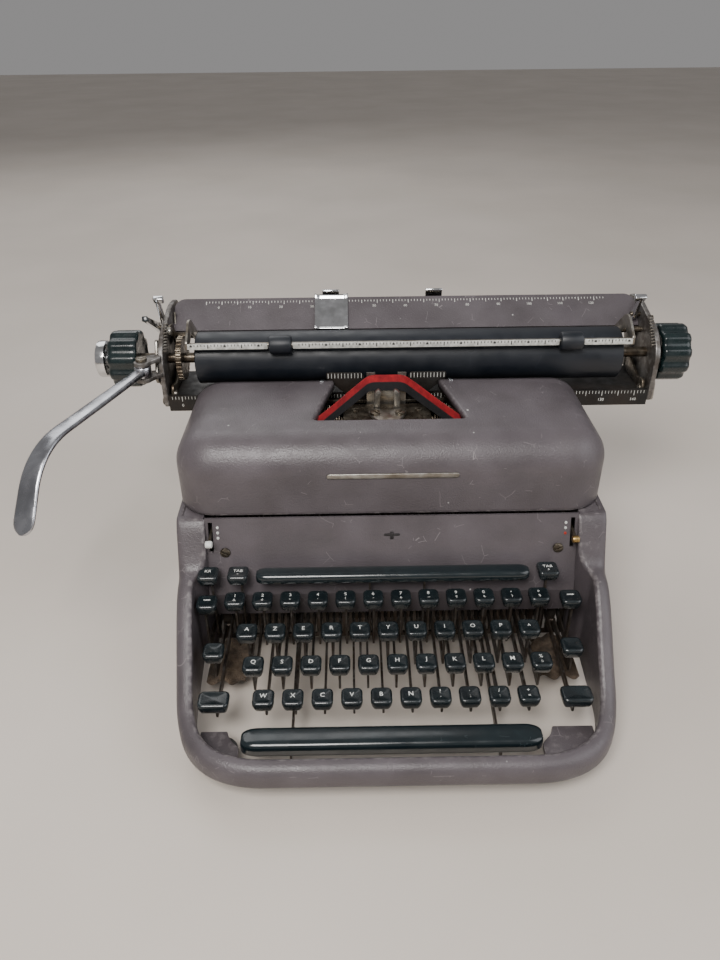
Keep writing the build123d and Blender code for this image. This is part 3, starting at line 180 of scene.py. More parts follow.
@dataclass(frozen=True)
class Place:
    """Where a sub-assembly's middle plane and the rim's front edge stand, in metres."""

    x: float
    y: float

    def metres(self, points: Array) -> Array:
        """Millimetre points of the sub-assembly as metres in the frame."""
        return points * MM + np.array([self.x, self.y, 0.0])


class Form:
    """One piece's mesh, gathered from surfaces worked out as whole arrays."""

    def __init__(self) -> None:
        """Starts with nothing."""
        self.points: list[Array] = []
        self.faces: list[tuple[int, ...]] = []
        self.finish: list[int] = []
        self.wear_and_sheen: list[Array] = []
        self.band: list[Array] = []
        self.total = 0

    def _keep(self, points: Array, quads: Array, rings: list[Array], finish: int,
              wear_and_sheen: Optional[Array], band: Optional[Array], outward: Optional[Point]) -> None:
        """Adds a surface, turned so that its faces point outwards.

        A closed surface is turned where the sum of a . (b x c) over its
        triangles, six times its volume, is negative; an open one where its
        mean normal runs against `outward`.
        """
        fans = [quads[:, [0, 1, 2]], quads[:, [0, 2, 3]]]
        fans += [np.stack([np.full(len(r) - 2, r[0]), r[1:-1], r[2:]], 1) for r in rings]
        corner = points[np.concatenate(fans)]
        a, b, c = corner[:, 0], corner[:, 1], corner[:, 2]
        if outward is None:
            middle = points.mean(0)
            turned = np.sum((a - middle) * np.cross(b - middle, c - middle)) < 0
        else:
            turned = np.sum(np.cross(b - a, c - a) @ np.array(outward)) < 0
        if turned:
            quads, rings = quads[:, ::-1], [r[::-1] for r in rings]
        new = [tuple(q) for q in (quads + self.total).tolist()]
        new += [tuple(r) for r in [(ring + self.total).tolist() for ring in rings]]
        self.points.append(points)
        self.faces += new
        self.finish += [finish] * len(new)
        self.wear_and_sheen.append(np.zeros(len(points)) if wear_and_sheen is None else wear_and_sheen.ravel())
        self.band.append(np.zeros(len(points)) if band is None else band.ravel())
        self.total += len(points)

    def grid(self, points: Array, close_u: bool = False, close_v: bool = False,
             caps: tuple[bool, bool] = (False, False), finish: int = 0,
             wear_and_sheen: Optional[Array] = None, band: Optional[Array] = None,
             outward: Optional[Point] = None) -> "Form":
        """Surface over a grid of two parameters.

        Args:
            points: array of rows u by columns v by three.
            close_u: joins the last row to the first.
            close_v: joins the last column to the first.
            caps: closes the first and the last row with a face.
            finish: number of the surface's finish on this piece.
            wear_and_sheen: how exposed each point is, 0 to 1; it places both rubbed edges and painted edge
                highlights.
            band: place of each point across a strip, 0 to 1.
            outward: rough direction of an open surface's outer side.
        """
        rows, columns = points.shape[:2]
        index = np.arange(rows * columns).reshape(rows, columns)
        rings = [index[0]] * caps[0] + [index[-1][::-1]] * caps[1]
        if close_u:
            index = np.vstack([index, index[:1]])
        if close_v:
            index = np.hstack([index, index[:, :1]])
        quads = np.stack([index[:-1, :-1], index[1:, :-1], index[1:, 1:], index[:-1, 1:]], -1)
        self._keep(points.reshape(-1, 3), quads.reshape(-1, 4), rings, finish, wear_and_sheen, band, outward)
        return self

    def rings(self, stack: Sequence[Array], finish: int = 0,
              wear_and_sheen: Optional[Sequence[float]] = None) -> "Form":
        """Closed skin through a stack of outlines with equal numbers of points."""
        points = np.stack(list(stack))
        rub_and_sheen = None if wear_and_sheen is None else np.repeat(np.asarray(wear_and_sheen, float), points.shape[1])
        return self.grid(points, close_v=True, caps=(True, True), finish=finish, wear_and_sheen=rub_and_sheen)

    def prism(self, outline: Array, low: float, high: float, axis: Along, bevel: float = 0.4,
              steps: int = 2, finish: int = 0) -> "Form":
        """Flat outline given a thickness, its edges eased by quarter circles.

        At angle a the eased edge stands bevel * (1 - sin a) inside the outline
        and bevel * (1 - cos a) inside the end face.
        """
        turn = np.linspace(0, math.pi / 2, steps + 1)
        bevel = min(bevel, (high - low) / 2.2)
        rows = [(bevel * (1 - math.sin(a)), bevel * (1 - math.cos(a))) for a in turn]
        stack = [spread(axis, low + rise, inset(outline, deep)) for deep, rise in rows]
        stack += [spread(axis, high - rise, inset(outline, deep)) for deep, rise in rows[::-1]]
        wear_and_sheen = [1.0 - abs(2 * k / steps - 1) * 0.5 for k in range(steps + 1)]
        return self.rings(stack, finish, wear_and_sheen + wear_and_sheen[::-1])

    def box(self, x: Sequence[float], y: Sequence[float], z: Sequence[float],
            bevel: float = 0.4, corner: float = 0.6, finish: int = 0) -> "Form":
        """Block with eased edges and corners between three pairs of limits."""
        outline = rounded_rectangle(x[1] - x[0], y[1] - y[0], corner, 3, 0)
        outline = outline + np.array([(x[0] + x[1]) / 2, (y[0] + y[1]) / 2])
        return self.prism(outline, z[0], z[1], Along.Z, bevel, finish=finish)

    def turned(self, profile: Sequence[tuple[float, float]], centre: tuple[float, float],
               axis: Along, sides: int = 48, finish: int = 0, wear_and_sheen: Optional[Sequence[float]] = None,
               shape: Optional[Callable[[Array, Array], Array]] = None) -> "Form":
        """Profile turned about an axis.

        A point at angle a stands (along, radius cos a, radius sin a) from the
        centre; `shape` may change the radius with the angle.

        Args:
            profile: pairs of place along the axis and radius.
            centre: the axis's place in the two other directions.
            axis: direction of the axis.
            sides: points round the axis.
            finish: number of the finish.
            wear_and_sheen: how exposed each profile point is, for rubbed edges and painted edge highlights.
            shape: maps radius and angle grids to a new radius grid.
        """
        along, radius = np.asarray(profile, float).T
        angle = np.linspace(0, 2 * math.pi, sides, endpoint=False)
        r, a = np.meshgrid(radius, angle, indexing="ij")
        r = r if shape is None else shape(r, a)
        first, second = centre[0] + r * np.cos(a), centre[1] + r * np.sin(a)
        place = np.repeat(along[:, None], sides, 1)
        order = {Along.X: (place, first, second), Along.Y: (first, place, second),
                 Along.Z: (first, second, place)}[axis]
        rub_and_sheen = None if wear_and_sheen is None else np.repeat(np.asarray(wear_and_sheen, float), sides)
        return self.grid(np.stack(order, -1), close_v=True, caps=(True, True), finish=finish, wear_and_sheen=rub_and_sheen)

    def sweep(self, path: Array, section: Array, side: Optional[Sequence[float]] = None,
              up: Sequence[float] = UP, finish: int = 0, wear_and_sheen: Optional[Array] = None) -> "Form":
        """Closed section carried along a path.

        Each section point (p, q) lies at path + p * side + q * normal, where
        side is square to the path and to `up`, or is given for the whole path.
        """
        tangent = unit(np.gradient(path, axis=0))
        fixed = None if side is None else np.broadcast_to(np.asarray(side, float), tangent.shape)
        across = np.cross(tangent, up) if fixed is None else fixed
        across = unit(across)
        normal = np.cross(across, tangent)
        flat = np.broadcast_to(section, (len(path), section.shape[-2], 2))
        points = path[:, None] + flat[..., :1] * across[:, None] + flat[..., 1:] * normal[:, None]
        return self.grid(points, close_v=True, caps=(True, True), finish=finish, wear_and_sheen=wear_and_sheen)

    def wire(self, path: Array, radius: float, sides: int = 8, up: Sequence[float] = UP,
             finish: int = 0) -> "Form":
        """Round wire or rod along a path."""
        return self.sweep(path, ring_points(radius, sides), up=up, finish=finish)

    def coil(self, start: Point, end: Point, radius: float, turns: int, gauge: float,
             finish: int = 0) -> "Form":
        """Coil spring: a wire round the line from start to end at an even pitch."""
        a, b = np.array(start), np.array(end)
        axis = unit(b - a)
        first = unit(np.cross(axis, (0.31, 0.84, 0.45)))
        second = np.cross(axis, first)
        t = np.linspace(0, 1, turns * 12)[:, None]
        angle = t * turns * 2 * math.pi
        path = a + (b - a) * t + radius * (np.cos(angle) * first + np.sin(angle) * second)
        return self.wire(path, gauge, 6, axis, finish)

    def screw(self, centre: Point, radius: float, height: float, axis: Along, sign: int = 1,
              slot: float = 0.9, finish: int = 0, tilt: float = 0.5) -> "Form":
        """Slotted cheese-head screw: a disc with two half moons beside its slot."""
        order = {Along.X: (1, 2, 0), Along.Y: (0, 2, 1), Along.Z: (0, 1, 2)}[axis]
        middle = np.array([centre[order[0]], centre[order[1]]])
        foot, seat = centre[order[2]], centre[order[2]] + sign * height * 0.55
        top = centre[order[2]] + sign * height
        disc = middle + ring_points(radius, 20)
        self.prism(disc, *sorted((foot, seat)), axis, 0.1, 1, finish)
        cut = math.asin(slot / 2 / radius)
        for half in (0, math.pi):
            arc = np.linspace(cut, math.pi - cut, 10) + half + tilt
            moon = middle + radius * np.stack([np.cos(arc), np.sin(arc)], 1)
            self.prism(moon, *sorted((seat, top)), axis, 0.35, 2, finish)
        return self

    def plates(self, centres: Array, half: Sequence[float], frame_axes: Array,
               finish: int = 0) -> "Form":
        """Many equal small plates at once, such as the marks of a scale.

        Args:
            centres: one row a plate.
            half: half sizes along the three axes.
            frame_axes: three unit rows, the plates' own axes.
            finish: number of the finish.
        """
        sign = np.array([[-1, -1, -1], [1, -1, -1], [1, 1, -1], [-1, 1, -1],
                         [-1, -1, 1], [1, -1, 1], [1, 1, 1], [-1, 1, 1]], float)
        corner = (sign * np.asarray(half)) @ np.asarray(frame_axes, float)
        face = np.array([[0, 3, 2, 1], [4, 5, 6, 7], [0, 1, 5, 4], [1, 2, 6, 5], [2, 3, 7, 6], [3, 0, 4, 7]])
        if np.linalg.det(np.asarray(frame_axes, float)) < 0:
            face = face[:, ::-1]
        points = (centres[:, None] + corner[None]).reshape(-1, 3)
        quads = (face[None] + 8 * np.arange(len(centres))[:, None, None]).reshape(-1, 4)
        self._keep(points, quads, [], finish, None, None, None)
        return self

    def add_mesh(self, points: Array, faces: list[tuple[int, ...]], finish: int = 0) -> "Form":
        """Faces already worked out elsewhere, such as the letters of a legend."""
        self.faces += [tuple(i + self.total for i in f) for f in faces]
        self.finish += [finish] * len(faces)
        self.points.append(points)
        self.wear_and_sheen.append(np.zeros(len(points)))
        self.band.append(np.zeros(len(points)))
        self.total += len(points)
        return self

    def piece(self, name: str, place: Place, finishes: Sequence["Finish"],
              crease: float = 38.0) -> bpy.types.Object:
        """Turns what was gathered into one Blender object at the origin.

        Args:
            name: the object's name.
            place: the sub-assembly's place in the frame.
            finishes: materials, in the order of their numbers.
            crease: degrees between faces past which an edge stays sharp.

        Returns:
            The object, linked to the scene.
        """
        mesh = bpy.data.meshes.new(name)
        mesh.from_pydata(place.metres(np.concatenate(self.points)), [], self.faces)
        for attribute, rows in (("wear_and_sheen", self.wear_and_sheen), ("band", self.band)):
            layer = mesh.attributes.new(attribute, "FLOAT", "POINT")
            layer.data.foreach_set("value", np.concatenate(rows).astype(np.float32))
        mesh.polygons.foreach_set("material_index", np.array(self.finish, np.int32))
        mesh.polygons.foreach_set("use_smooth", np.ones(len(self.faces), bool))
        mesh.set_sharp_from_angle(angle=math.radians(crease))
        for finish in finishes:
            mesh.materials.append(finish.material())
        mesh.update()
        made = bpy.data.objects.new(name, mesh)
        bpy.context.scene.collection.objects.link(made)
        return made


    def dress(self, name: str, place: Place, body: str, finishes: Sequence["Finish"], *nodes: str,
              slot: Optional["Finish"] = None, crease: float = 38.0) -> bpy.types.Object:
        """Makes the piece and settles it; its slot, its first finish's unless another is given, is passed on but
        not used.
        """
        return settle(self.piece(name, place, finishes, crease), body, slot or finishes[0], *nodes)


class Lettering:
    """Letters and figures as thin flat solids, made once each."""

    _made: dict[tuple[str, float], tuple[Array, list[tuple[int, ...]]]] = {}

    @classmethod
    def outline(cls, text: str, size: float) -> tuple[Array, list[tuple[int, ...]]]:
        """Points (width, height, thickness) and faces of a short text, centred."""
        key = (text, size)
        if key not in cls._made:
            curve = bpy.data.curves.new("legend", "FONT")
            curve.body, curve.size = text, size
            curve.align_x, curve.align_y = "CENTER", "CENTER"
            curve.resolution_u, curve.extrude, curve.offset = 2, 0.03, 0.006 * size
            holder = bpy.data.objects.new("legend", curve)
            bpy.context.scene.collection.objects.link(holder)
            graph = bpy.context.evaluated_depsgraph_get()
            mesh = bpy.data.meshes.new_from_object(holder.evaluated_get(graph))
            points = np.zeros(len(mesh.vertices) * 3)
            mesh.vertices.foreach_get("co", points)
            points = points.reshape(-1, 3)
            middle = (points.min(0) + points.max(0)) / 2
            faces = [tuple(p.vertices) for p in mesh.polygons]
            cls._made[key] = (points - middle * np.array([1, 1, 0]), faces)
            bpy.data.objects.remove(holder)
            bpy.data.meshes.remove(mesh)
            bpy.data.curves.remove(curve)
        return cls._made[key]

    @classmethod
    def lay(cls, form: Form, text: str, size: float, origin: Array, axes: Array, finish: int,
            drop: Optional[Callable[[Array], Array]] = None) -> None:
        """Lays a text on a plane: width, height and thickness run along the three axes.

        Args:
            form: the piece it is added to.
            text: letters or figures.
            size: type size in millimetres.
            origin: the text's middle.
            axes: three unit rows.
            finish: number of the ink's finish.
            drop: height to take off at flat points, on a hollowed face.
        """
        flat, faces = cls.outline(text, size)
        points = origin + flat @ axes
        if drop is not None:
            points = points - drop(points)[:, None] * axes[2]
        form.add_mesh(points, faces, finish)


# ------------------------------------------------------------------ shader helpers
class Web:
    """Short way to add and join the nodes of one tree."""

    def __init__(self, tree: bpy.types.NodeTree) -> None:
        """Works on the given tree."""
        self.tree = tree

    def add(self, kind: str, inputs: Optional[dict] = None, **settings: object) -> bpy.types.Node:
        """Adds a node, sets it up and feeds its inputs with sockets or values."""
        node = self.tree.nodes.new(kind)
        for name, value in settings.items():
            setattr(node, name, value)
        self.feed(node, inputs or {})
        return node

    def feed(self, node: bpy.types.Node, inputs: dict) -> None:
        """Feeds a node's inputs, by name or number, with sockets or values."""
        for name, value in inputs.items():
            if isinstance(value, Socket):
                self.tree.links.new(value, node.inputs[name])
            else:
                node.inputs[name].default_value = value

    def sum(self, operation: str, *values: object) -> Socket:
        """One step of arithmetic on sockets or numbers."""
        return self.add("ShaderNodeMath", dict(enumerate(values)), operation=operation).outputs[0]

    def blend(self, share: object, first: object, second: object) -> Socket:
        """Colour between two others."""
        node = self.add("ShaderNodeMix", {0: share, 6: first, 7: second}, data_type="RGBA")
        return node.outputs[2]

    def ramp(self, value: object, low: float, high: float, out_low: float = 0.0,
             out_high: float = 1.0) -> Socket:
        """Value stretched from one range to another and held inside it."""
        node = self.add("ShaderNodeMapRange", {0: value, 1: low, 2: high, 3: out_low, 4: out_high})
        return node.outputs[0]


def rgba(colour: Colour) -> tuple[float, float, float, float]:
    """Opaque colour."""
    return (*colour, 1.0)


class Effect(Enum):
    """Shader node groups that several finishes share."""

    MOTTLE = "mottle"
    SCRATCHES = "scratches"
    SPECKS = "specks"
    CRINKLE = "crinkle"
    GRAIN = "grain"
    EDGE_WEAR_AND_SHEEN = "edge_wear_and_sheen"

    def tree(self) -> bpy.types.NodeTree:
        """The group's node tree, built the first time it is asked for."""
        made = bpy.data.node_groups.get(self.value)
        if made is not None:
            return made
        made = bpy.data.node_groups.new(self.value, "ShaderNodeTree")
        made.interface.new_socket("Vector", in_out="INPUT", socket_type="NodeSocketVector")
        for name, value in (("Scale", 100.0), ("Amount", 0.5), ("Edge", 0.0)):
            socket = made.interface.new_socket(name, in_out="INPUT", socket_type="NodeSocketFloat")
            socket.default_value = value
        made.interface.new_socket("Value", in_out="OUTPUT", socket_type="NodeSocketFloat")
        web = Web(made)
        source, sink = web.add("NodeGroupInput"), web.add("NodeGroupOutput")
        build = getattr(self, "_" + self.value)
        made.links.new(build(web, *source.outputs[:4]), sink.inputs[0])
        return made

    @staticmethod
    def _mottle(web: Web, vector: Socket, scale: Socket, *_: Socket) -> Socket:
        """Soft clouds: layered noise, stretched to the whole range."""
        noise = web.add("ShaderNodeTexNoise", {"Vector": vector, "Scale": scale, "Detail": 5.0})
        return web.ramp(noise.outputs[0], 0.36, 0.64)

    @staticmethod
    def _scratches(web: Web, vector: Socket, scale: Socket, amount: Socket, *_: Socket) -> Socket:
        """Short hairlines: thin walls between cells, kept only in scattered patches."""
        bent = web.add("ShaderNodeTexNoise", {"Vector": vector, "Scale": scale, "Detail": 1.0})
        warp = web.add("ShaderNodeVectorMath", {0: bent.outputs[1], 3: 0.004}, operation="SCALE")
        moved = web.add("ShaderNodeVectorMath", {0: vector, 1: warp.outputs[0]}, operation="ADD")
        cell = web.add("ShaderNodeTexVoronoi", {"Vector": moved.outputs[0], "Scale": scale},
                       feature="DISTANCE_TO_EDGE")
        line = web.ramp(cell.outputs[0], 0.0, 0.012, 1.0, 0.0)
        patch = web.add("ShaderNodeTexNoise", {"Vector": vector, "Scale": web.sum("MULTIPLY", scale, 0.9)})
        limit = web.sum("SUBTRACT", 0.72, web.sum("MULTIPLY", amount, 0.2))
        return web.sum("MULTIPLY", line, web.sum("GREATER_THAN", patch.outputs[0], limit))

    @staticmethod
    def _specks(web: Web, vector: Socket, scale: Socket, amount: Socket, *_: Socket) -> Socket:
        """Small dots: the middles of a few randomly chosen cells."""
        cell = web.add("ShaderNodeTexVoronoi", {"Vector": vector, "Scale": scale})
        dot = web.ramp(cell.outputs[0], 0.05, 0.12, 1.0, 0.0)
        chance = web.add("ShaderNodeSeparateColor", {0: cell.outputs[1]}).outputs[0]
        return web.sum("MULTIPLY", dot, web.sum("LESS_THAN", chance, amount))

    @staticmethod
    def _crinkle(web: Web, vector: Socket, scale: Socket, amount: Socket, *_: Socket) -> Socket:
        """Height of wrinkled enamel: small round cells over finer noise."""
        cell = web.add("ShaderNodeTexVoronoi", {"Vector": vector, "Scale": scale, "Smoothness": 0.8},
                       feature="SMOOTH_F1")
        fine = web.add("ShaderNodeTexNoise", {"Vector": vector, "Scale": web.sum("MULTIPLY", scale, 0.6),
                                              "Detail": 4.0})
        return web.sum("ADD", web.sum("MULTIPLY", cell.outputs[0], amount), fine.outputs[0])

    @staticmethod
    def _grain(web: Web, vector: Socket, scale: Socket, *_: Socket) -> Socket:
        """Brushed lines that run across the machine: noise drawn out along X."""
        drawn = web.add("ShaderNodeVectorMath", {0: vector, 1: (0.06, 1.0, 1.0)}, operation="MULTIPLY")
        noise = web.add("ShaderNodeTexNoise", {"Vector": drawn.outputs[0], "Scale": scale, "Detail": 3.0})
        return web.ramp(noise.outputs[0], 0.3, 0.7)

    @staticmethod
    def _edge_wear_and_sheen(web: Web, vector: Socket, scale: Socket, amount: Socket, edge: Socket) -> Socket:
        """Rubbed edges and painted edge highlights: exposure broken up by noise."""
        noise = web.add("ShaderNodeTexNoise", {"Vector": vector, "Scale": scale, "Detail": 6.0})
        level = web.sum("MULTIPLY", edge, web.ramp(noise.outputs[0], 0.35, 0.7))
        return web.sum("MULTIPLY", web.ramp(level, 0.25, 0.75), amount)


@dataclass(frozen=True)
class Finish:
    """One finish: colour with mottling, scratches, specks and worn edges partly painted as highlights, gloss and
    bump.
    """

    name: str
    slot: str
    colour: Colour
    second: Colour
    rough: tuple[float, float]
    metallic: float = 0.0
    mottle: float = 60.0
    coat: float = 0.0
    bump: Effect = Effect.MOTTLE
    bump_scale: float = 900.0
    bump_depth: float = 0.00003
    bump_mix: float = 0.5
    scratch: float = 0.0
    scratch_scale: float = 160.0
    scratch_colour: Colour = (0.5, 0.49, 0.48)
    speck: float = 0.0
    speck_scale: float = 220.0
    speck_colour: Colour = (0.6, 0.6, 0.58)
    # lighter colour on exposed points: rubbed paint and metal, and in part painted highlights along bright edges
    rub_and_sheen: float = 0.0
    rub_and_sheen_colour: Colour = (0.45, 0.44, 0.43)
    stain: float = 0.0
    stain_colour: Colour = (0.06, 0.04, 0.025)
    stain_scale: float = 35.0

    def colouring(self, web: Web, vector: Socket) -> Socket:
        """Colour of the clean surface at each point."""
        clouds = self.effect(web, Effect.MOTTLE, vector, self.mottle)
        return web.blend(clouds, rgba(self.colour), rgba(self.second))

    @staticmethod
    def effect(web: Web, which: Effect, vector: Socket, scale: float, amount: float = 0.5,
               edge: Socket | float = 0.0) -> Socket:
        """Output of a shared group placed in this material with its own values."""
        node = web.add("ShaderNodeGroup", node_tree=which.tree())
        web.feed(node, {"Vector": vector, "Scale": scale, "Amount": amount, "Edge": edge})
        return node.outputs[0]

    def material(self) -> bpy.types.Material:
        """The finish as a material, built the first time it is asked for."""
        made = bpy.data.materials.get(self.name)
        if made is not None:
            return made
        made = bpy.data.materials.new(self.name)
        made.use_nodes = True
        made.diffuse_color = rgba(self.colour)
        made.node_tree.nodes.clear()
        web = Web(made.node_tree)
        vector = web.add("ShaderNodeTexCoord").outputs["Object"]
        colour = self.colouring(web, vector)
        if self.stain:
            patch = self.effect(web, Effect.MOTTLE, vector, self.stain_scale)
            colour = web.blend(web.sum("MULTIPLY", patch, self.stain), colour, rgba(self.stain_colour))
        if self.scratch:
            mask = self.effect(web, Effect.SCRATCHES, vector, self.scratch_scale, self.scratch)
            colour = web.blend(web.sum("MULTIPLY", mask, 0.7), colour, rgba(self.scratch_colour))
        if self.speck:
            mask = self.effect(web, Effect.SPECKS, vector, self.speck_scale, self.speck)
            colour = web.blend(mask, colour, rgba(self.speck_colour))
        # exposed points take the lighter colour: partly rubbing, partly painted highlights along edges
        if self.rub_and_sheen:
            edge = web.add("ShaderNodeAttribute", attribute_name="wear_and_sheen").outputs["Fac"]
            mask = self.effect(web, Effect.EDGE_WEAR_AND_SHEEN, vector, 240.0, self.rub_and_sheen, edge)
            colour = web.blend(mask, colour, rgba(self.rub_and_sheen_colour))
        gloss = self.effect(web, Effect.MOTTLE, vector, self.mottle * 2.3)
        rough = web.ramp(gloss, 0.0, 1.0, *self.rough)
        height = self.effect(web, self.bump, vector, self.bump_scale, self.bump_mix)
        normal = web.add("ShaderNodeBump", {"Strength": 1.0, "Distance": self.bump_depth, "Height": height})
        shader = web.add("ShaderNodeBsdfPrincipled", {
            "Base Color": colour, "Roughness": rough, "Metallic": self.metallic,
            "Coat Weight": self.coat, "Coat Roughness": 0.12, "Normal": normal.outputs[0],
        })
        web.add("ShaderNodeOutputMaterial", {"Surface": shader.outputs[0]})
        return made


@dataclass(frozen=True)
class RibbonFinish(Finish):
    """Inked ribbon in two colours, woven fine."""

    lower: Colour = (0.012, 0.012, 0.014)

    def colouring(self, web: Web, vector: Socket) -> Socket:
        """Black below the middle of the band and red above it, with faded patches."""
        band = web.add("ShaderNodeAttribute", attribute_name="band").outputs["Fac"]
        clouds = self.effect(web, Effect.MOTTLE, vector, self.mottle)
        red = web.blend(clouds, rgba(self.colour), rgba(self.second))
        return web.blend(web.ramp(band, 0.52, 0.58), rgba(self.lower), red)


# its lighter worn colour on the rim and cover edges is rubbed paint and, in part, painted highlight
PAINT = Finish("grey_enamel", "paint", (0.096, 0.083, 0.091), (0.072, 0.062, 0.068), (0.34, 0.48),
               mottle=26.0, bump=Effect.CRINKLE, bump_scale=1300.0, bump_depth=0.00022, scratch=0.55,
               scratch_scale=70.0, scratch_colour=(0.26, 0.235, 0.24), speck=0.035, speck_scale=120.0,
               rub_and_sheen=0.5, rub_and_sheen_colour=(0.24, 0.22, 0.22), stain=0.25, stain_colour=(0.045, 0.037, 0.036))
# dark enamel of the key slot: the flat inset is painted shade in place of the slot's depth, and the tab in it
# shares the finish
SHADED_PAINT = Finish("shaded_enamel", "paint", (0.026, 0.023, 0.024), (0.014, 0.012, 0.013), (0.45, 0.65),
                    bump=Effect.CRINKLE, bump_scale=1300.0, bump_depth=0.0002, scratch=0.4,
                    scratch_scale=80.0, scratch_colour=(0.11, 0.1, 0.1), rub_and_sheen=0.4,
                    rub_and_sheen_colour=(0.12, 0.11, 0.11))
# its lighter worn colour on the caps' upper edges is rubbing and, in part, a painted highlight along the fold
KEY = Finish("key_moulding", "key_plastic", (0.009, 0.0145, 0.017), (0.006, 0.0095, 0.0115), (0.18, 0.32),
             mottle=80.0, coat=0.35, bump_scale=500.0, bump_depth=0.00001, scratch=0.25,
             scratch_scale=260.0, scratch_colour=(0.07, 0.085, 0.09), rub_and_sheen=0.3,
             rub_and_sheen_colour=(0.022, 0.032, 0.036), stain=0.2, stain_colour=(0.014, 0.016, 0.016),
             stain_scale=120.0)
# its lighter worn colour along the bars' tops is rubbing and, in part, a painted highlight
BAR = Finish("bar_plastic", "key_plastic", (0.006, 0.0125, 0.0155), (0.004, 0.0085, 0.011), (0.15, 0.27),
             mottle=40.0, coat=0.4, bump_scale=300.0, bump_depth=0.00001, scratch=0.5,
             scratch_scale=90.0, scratch_colour=(0.06, 0.075, 0.08), rub_and_sheen=0.3,
             rub_and_sheen_colour=(0.022, 0.036, 0.042), stain=0.2, stain_colour=(0.012, 0.015, 0.015))
KNOB = Finish("knob_moulding", "knob_plastic", (0.004, 0.0125, 0.0135), (0.0028, 0.008, 0.009), (0.22, 0.36),
              mottle=70.0, coat=0.25, bump_scale=600.0, bump_depth=0.00002, rub_and_sheen=0.35,
              rub_and_sheen_colour=(0.014, 0.028, 0.029), scratch=0.2,
              scratch_colour=(0.06, 0.08, 0.08))
INK = Finish("legend_white", "key_plastic", (0.72, 0.73, 0.7), (0.55, 0.56, 0.54), (0.5, 0.65),
             mottle=500.0, bump_depth=0.000005)
SCALE_INK = Finish("scale_white", "blued_steel", (0.66, 0.66, 0.62), (0.42, 0.42, 0.39), (0.5, 0.65),
                   mottle=300.0, bump_depth=0.000005)
BLACK_INK = Finish("scale_black", "bright_steel", (0.02, 0.02, 0.02), (0.05, 0.05, 0.05), (0.5, 0.65),
                   mottle=400.0, bump_depth=0.000005)
RED_DOT = Finish("red_dot", "paint", (0.5, 0.05, 0.03), (0.35, 0.03, 0.02), (0.4, 0.5), mottle=600.0)
BLUED = Finish("lever_steel", "blued_steel", (0.12, 0.11, 0.10), (0.05, 0.042, 0.036), (0.35, 0.55),
               metallic=0.85, mottle=120.0, bump=Effect.GRAIN, bump_scale=700.0, rub_and_sheen=0.5,
               stain=0.45, stain_colour=(0.07, 0.04, 0.02), stain_scale=90.0)
STEEL = Finish("machine_steel", "bright_steel", (0.42, 0.41, 0.38), (0.2, 0.18, 0.15), (0.28, 0.5),
               metallic=0.9, mottle=90.0, bump=Effect.GRAIN, bump_scale=900.0, scratch=0.4,
               scratch_scale=200.0, rub_and_sheen=0.4, stain=0.4, stain_colour=(0.12, 0.08, 0.045),
               stain_scale=110.0)
OILY = Finish("oiled_steel", "blued_steel", (0.16, 0.14, 0.11), (0.05, 0.042, 0.034), (0.25, 0.5),
              metallic=0.85, mottle=150.0, rub_and_sheen=0.7, rub_and_sheen_colour=(0.4, 0.37, 0.3), stain=0.5,
              stain_colour=(0.06, 0.038, 0.02), stain_scale=140.0)
CHROME = Finish("chrome_plate", "chrome", (0.83, 0.84, 0.86), (0.66, 0.67, 0.68), (0.07, 0.2),
                metallic=1.0, mottle=110.0, bump_scale=260.0, bump_depth=0.00001, scratch=0.4,
                scratch_scale=180.0, scratch_colour=(0.45, 0.44, 0.42), stain=0.16,
                stain_colour=(0.2, 0.17, 0.13), stain_scale=150.0)
LEVER_METAL = Finish("lever_plate", "chrome", (0.62, 0.63, 0.67), (0.42, 0.43, 0.46), (0.16, 0.34),
                     metallic=1.0, mottle=45.0, bump=Effect.GRAIN, bump_scale=500.0,
                     bump_depth=0.00002, scratch=0.7, scratch_scale=110.0,
                     scratch_colour=(0.25, 0.25, 0.27), rub_and_sheen=0.4, rub_and_sheen_colour=(0.8, 0.8, 0.82),
                     stain=0.3, stain_colour=(0.16, 0.15, 0.16), stain_scale=60.0)
CAST = Finish("cast_frame", "cast_aluminium", (0.2, 0.19, 0.18), (0.1, 0.09, 0.085), (0.35, 0.55),
              metallic=0.7, mottle=80.0, bump=Effect.CRINKLE, bump_scale=700.0, bump_depth=0.0001,
              rub_and_sheen=0.6, stain=0.4, stain_colour=(0.06, 0.045, 0.03), stain_scale=80.0)
IRON = Finish("dark_iron", "frame_iron", (0.022, 0.021, 0.02), (0.011, 0.0105, 0.01), (0.42, 0.62),
              metallic=0.4, mottle=60.0, bump=Effect.CRINKLE, bump_scale=900.0, bump_depth=0.0001,
              scratch=0.4,
              scratch_colour=(0.12, 0.115, 0.11), stain=0.4, stain_colour=(0.03, 0.018, 0.011),
              stain_scale=50.0)
RUBBER = Finish("roll_rubber", "platen_rubber", (0.0055, 0.0075, 0.0115), (0.009, 0.0115, 0.0165),
                (0.36, 0.52), mottle=30.0, bump=Effect.GRAIN, bump_scale=500.0, bump_depth=0.00002,
                scratch=0.3, scratch_scale=60.0, scratch_colour=(0.03, 0.035, 0.045), stain=0.3,
                stain_colour=(0.016, 0.019, 0.024))
FOOT = Finish("foot_rubber", "foot_rubber", (0.02, 0.02, 0.02), (0.035, 0.034, 0.032), (0.7, 0.85),
              mottle=120.0, bump_scale=700.0, bump_depth=0.0001)
CLOTH = RibbonFinish("inked_ribbon", "ribbon_cloth", (0.42, 0.016, 0.022), (0.26, 0.01, 0.016), (0.6, 0.8),
                     mottle=180.0, bump=Effect.CRINKLE, bump_scale=2600.0, bump_depth=0.00012)
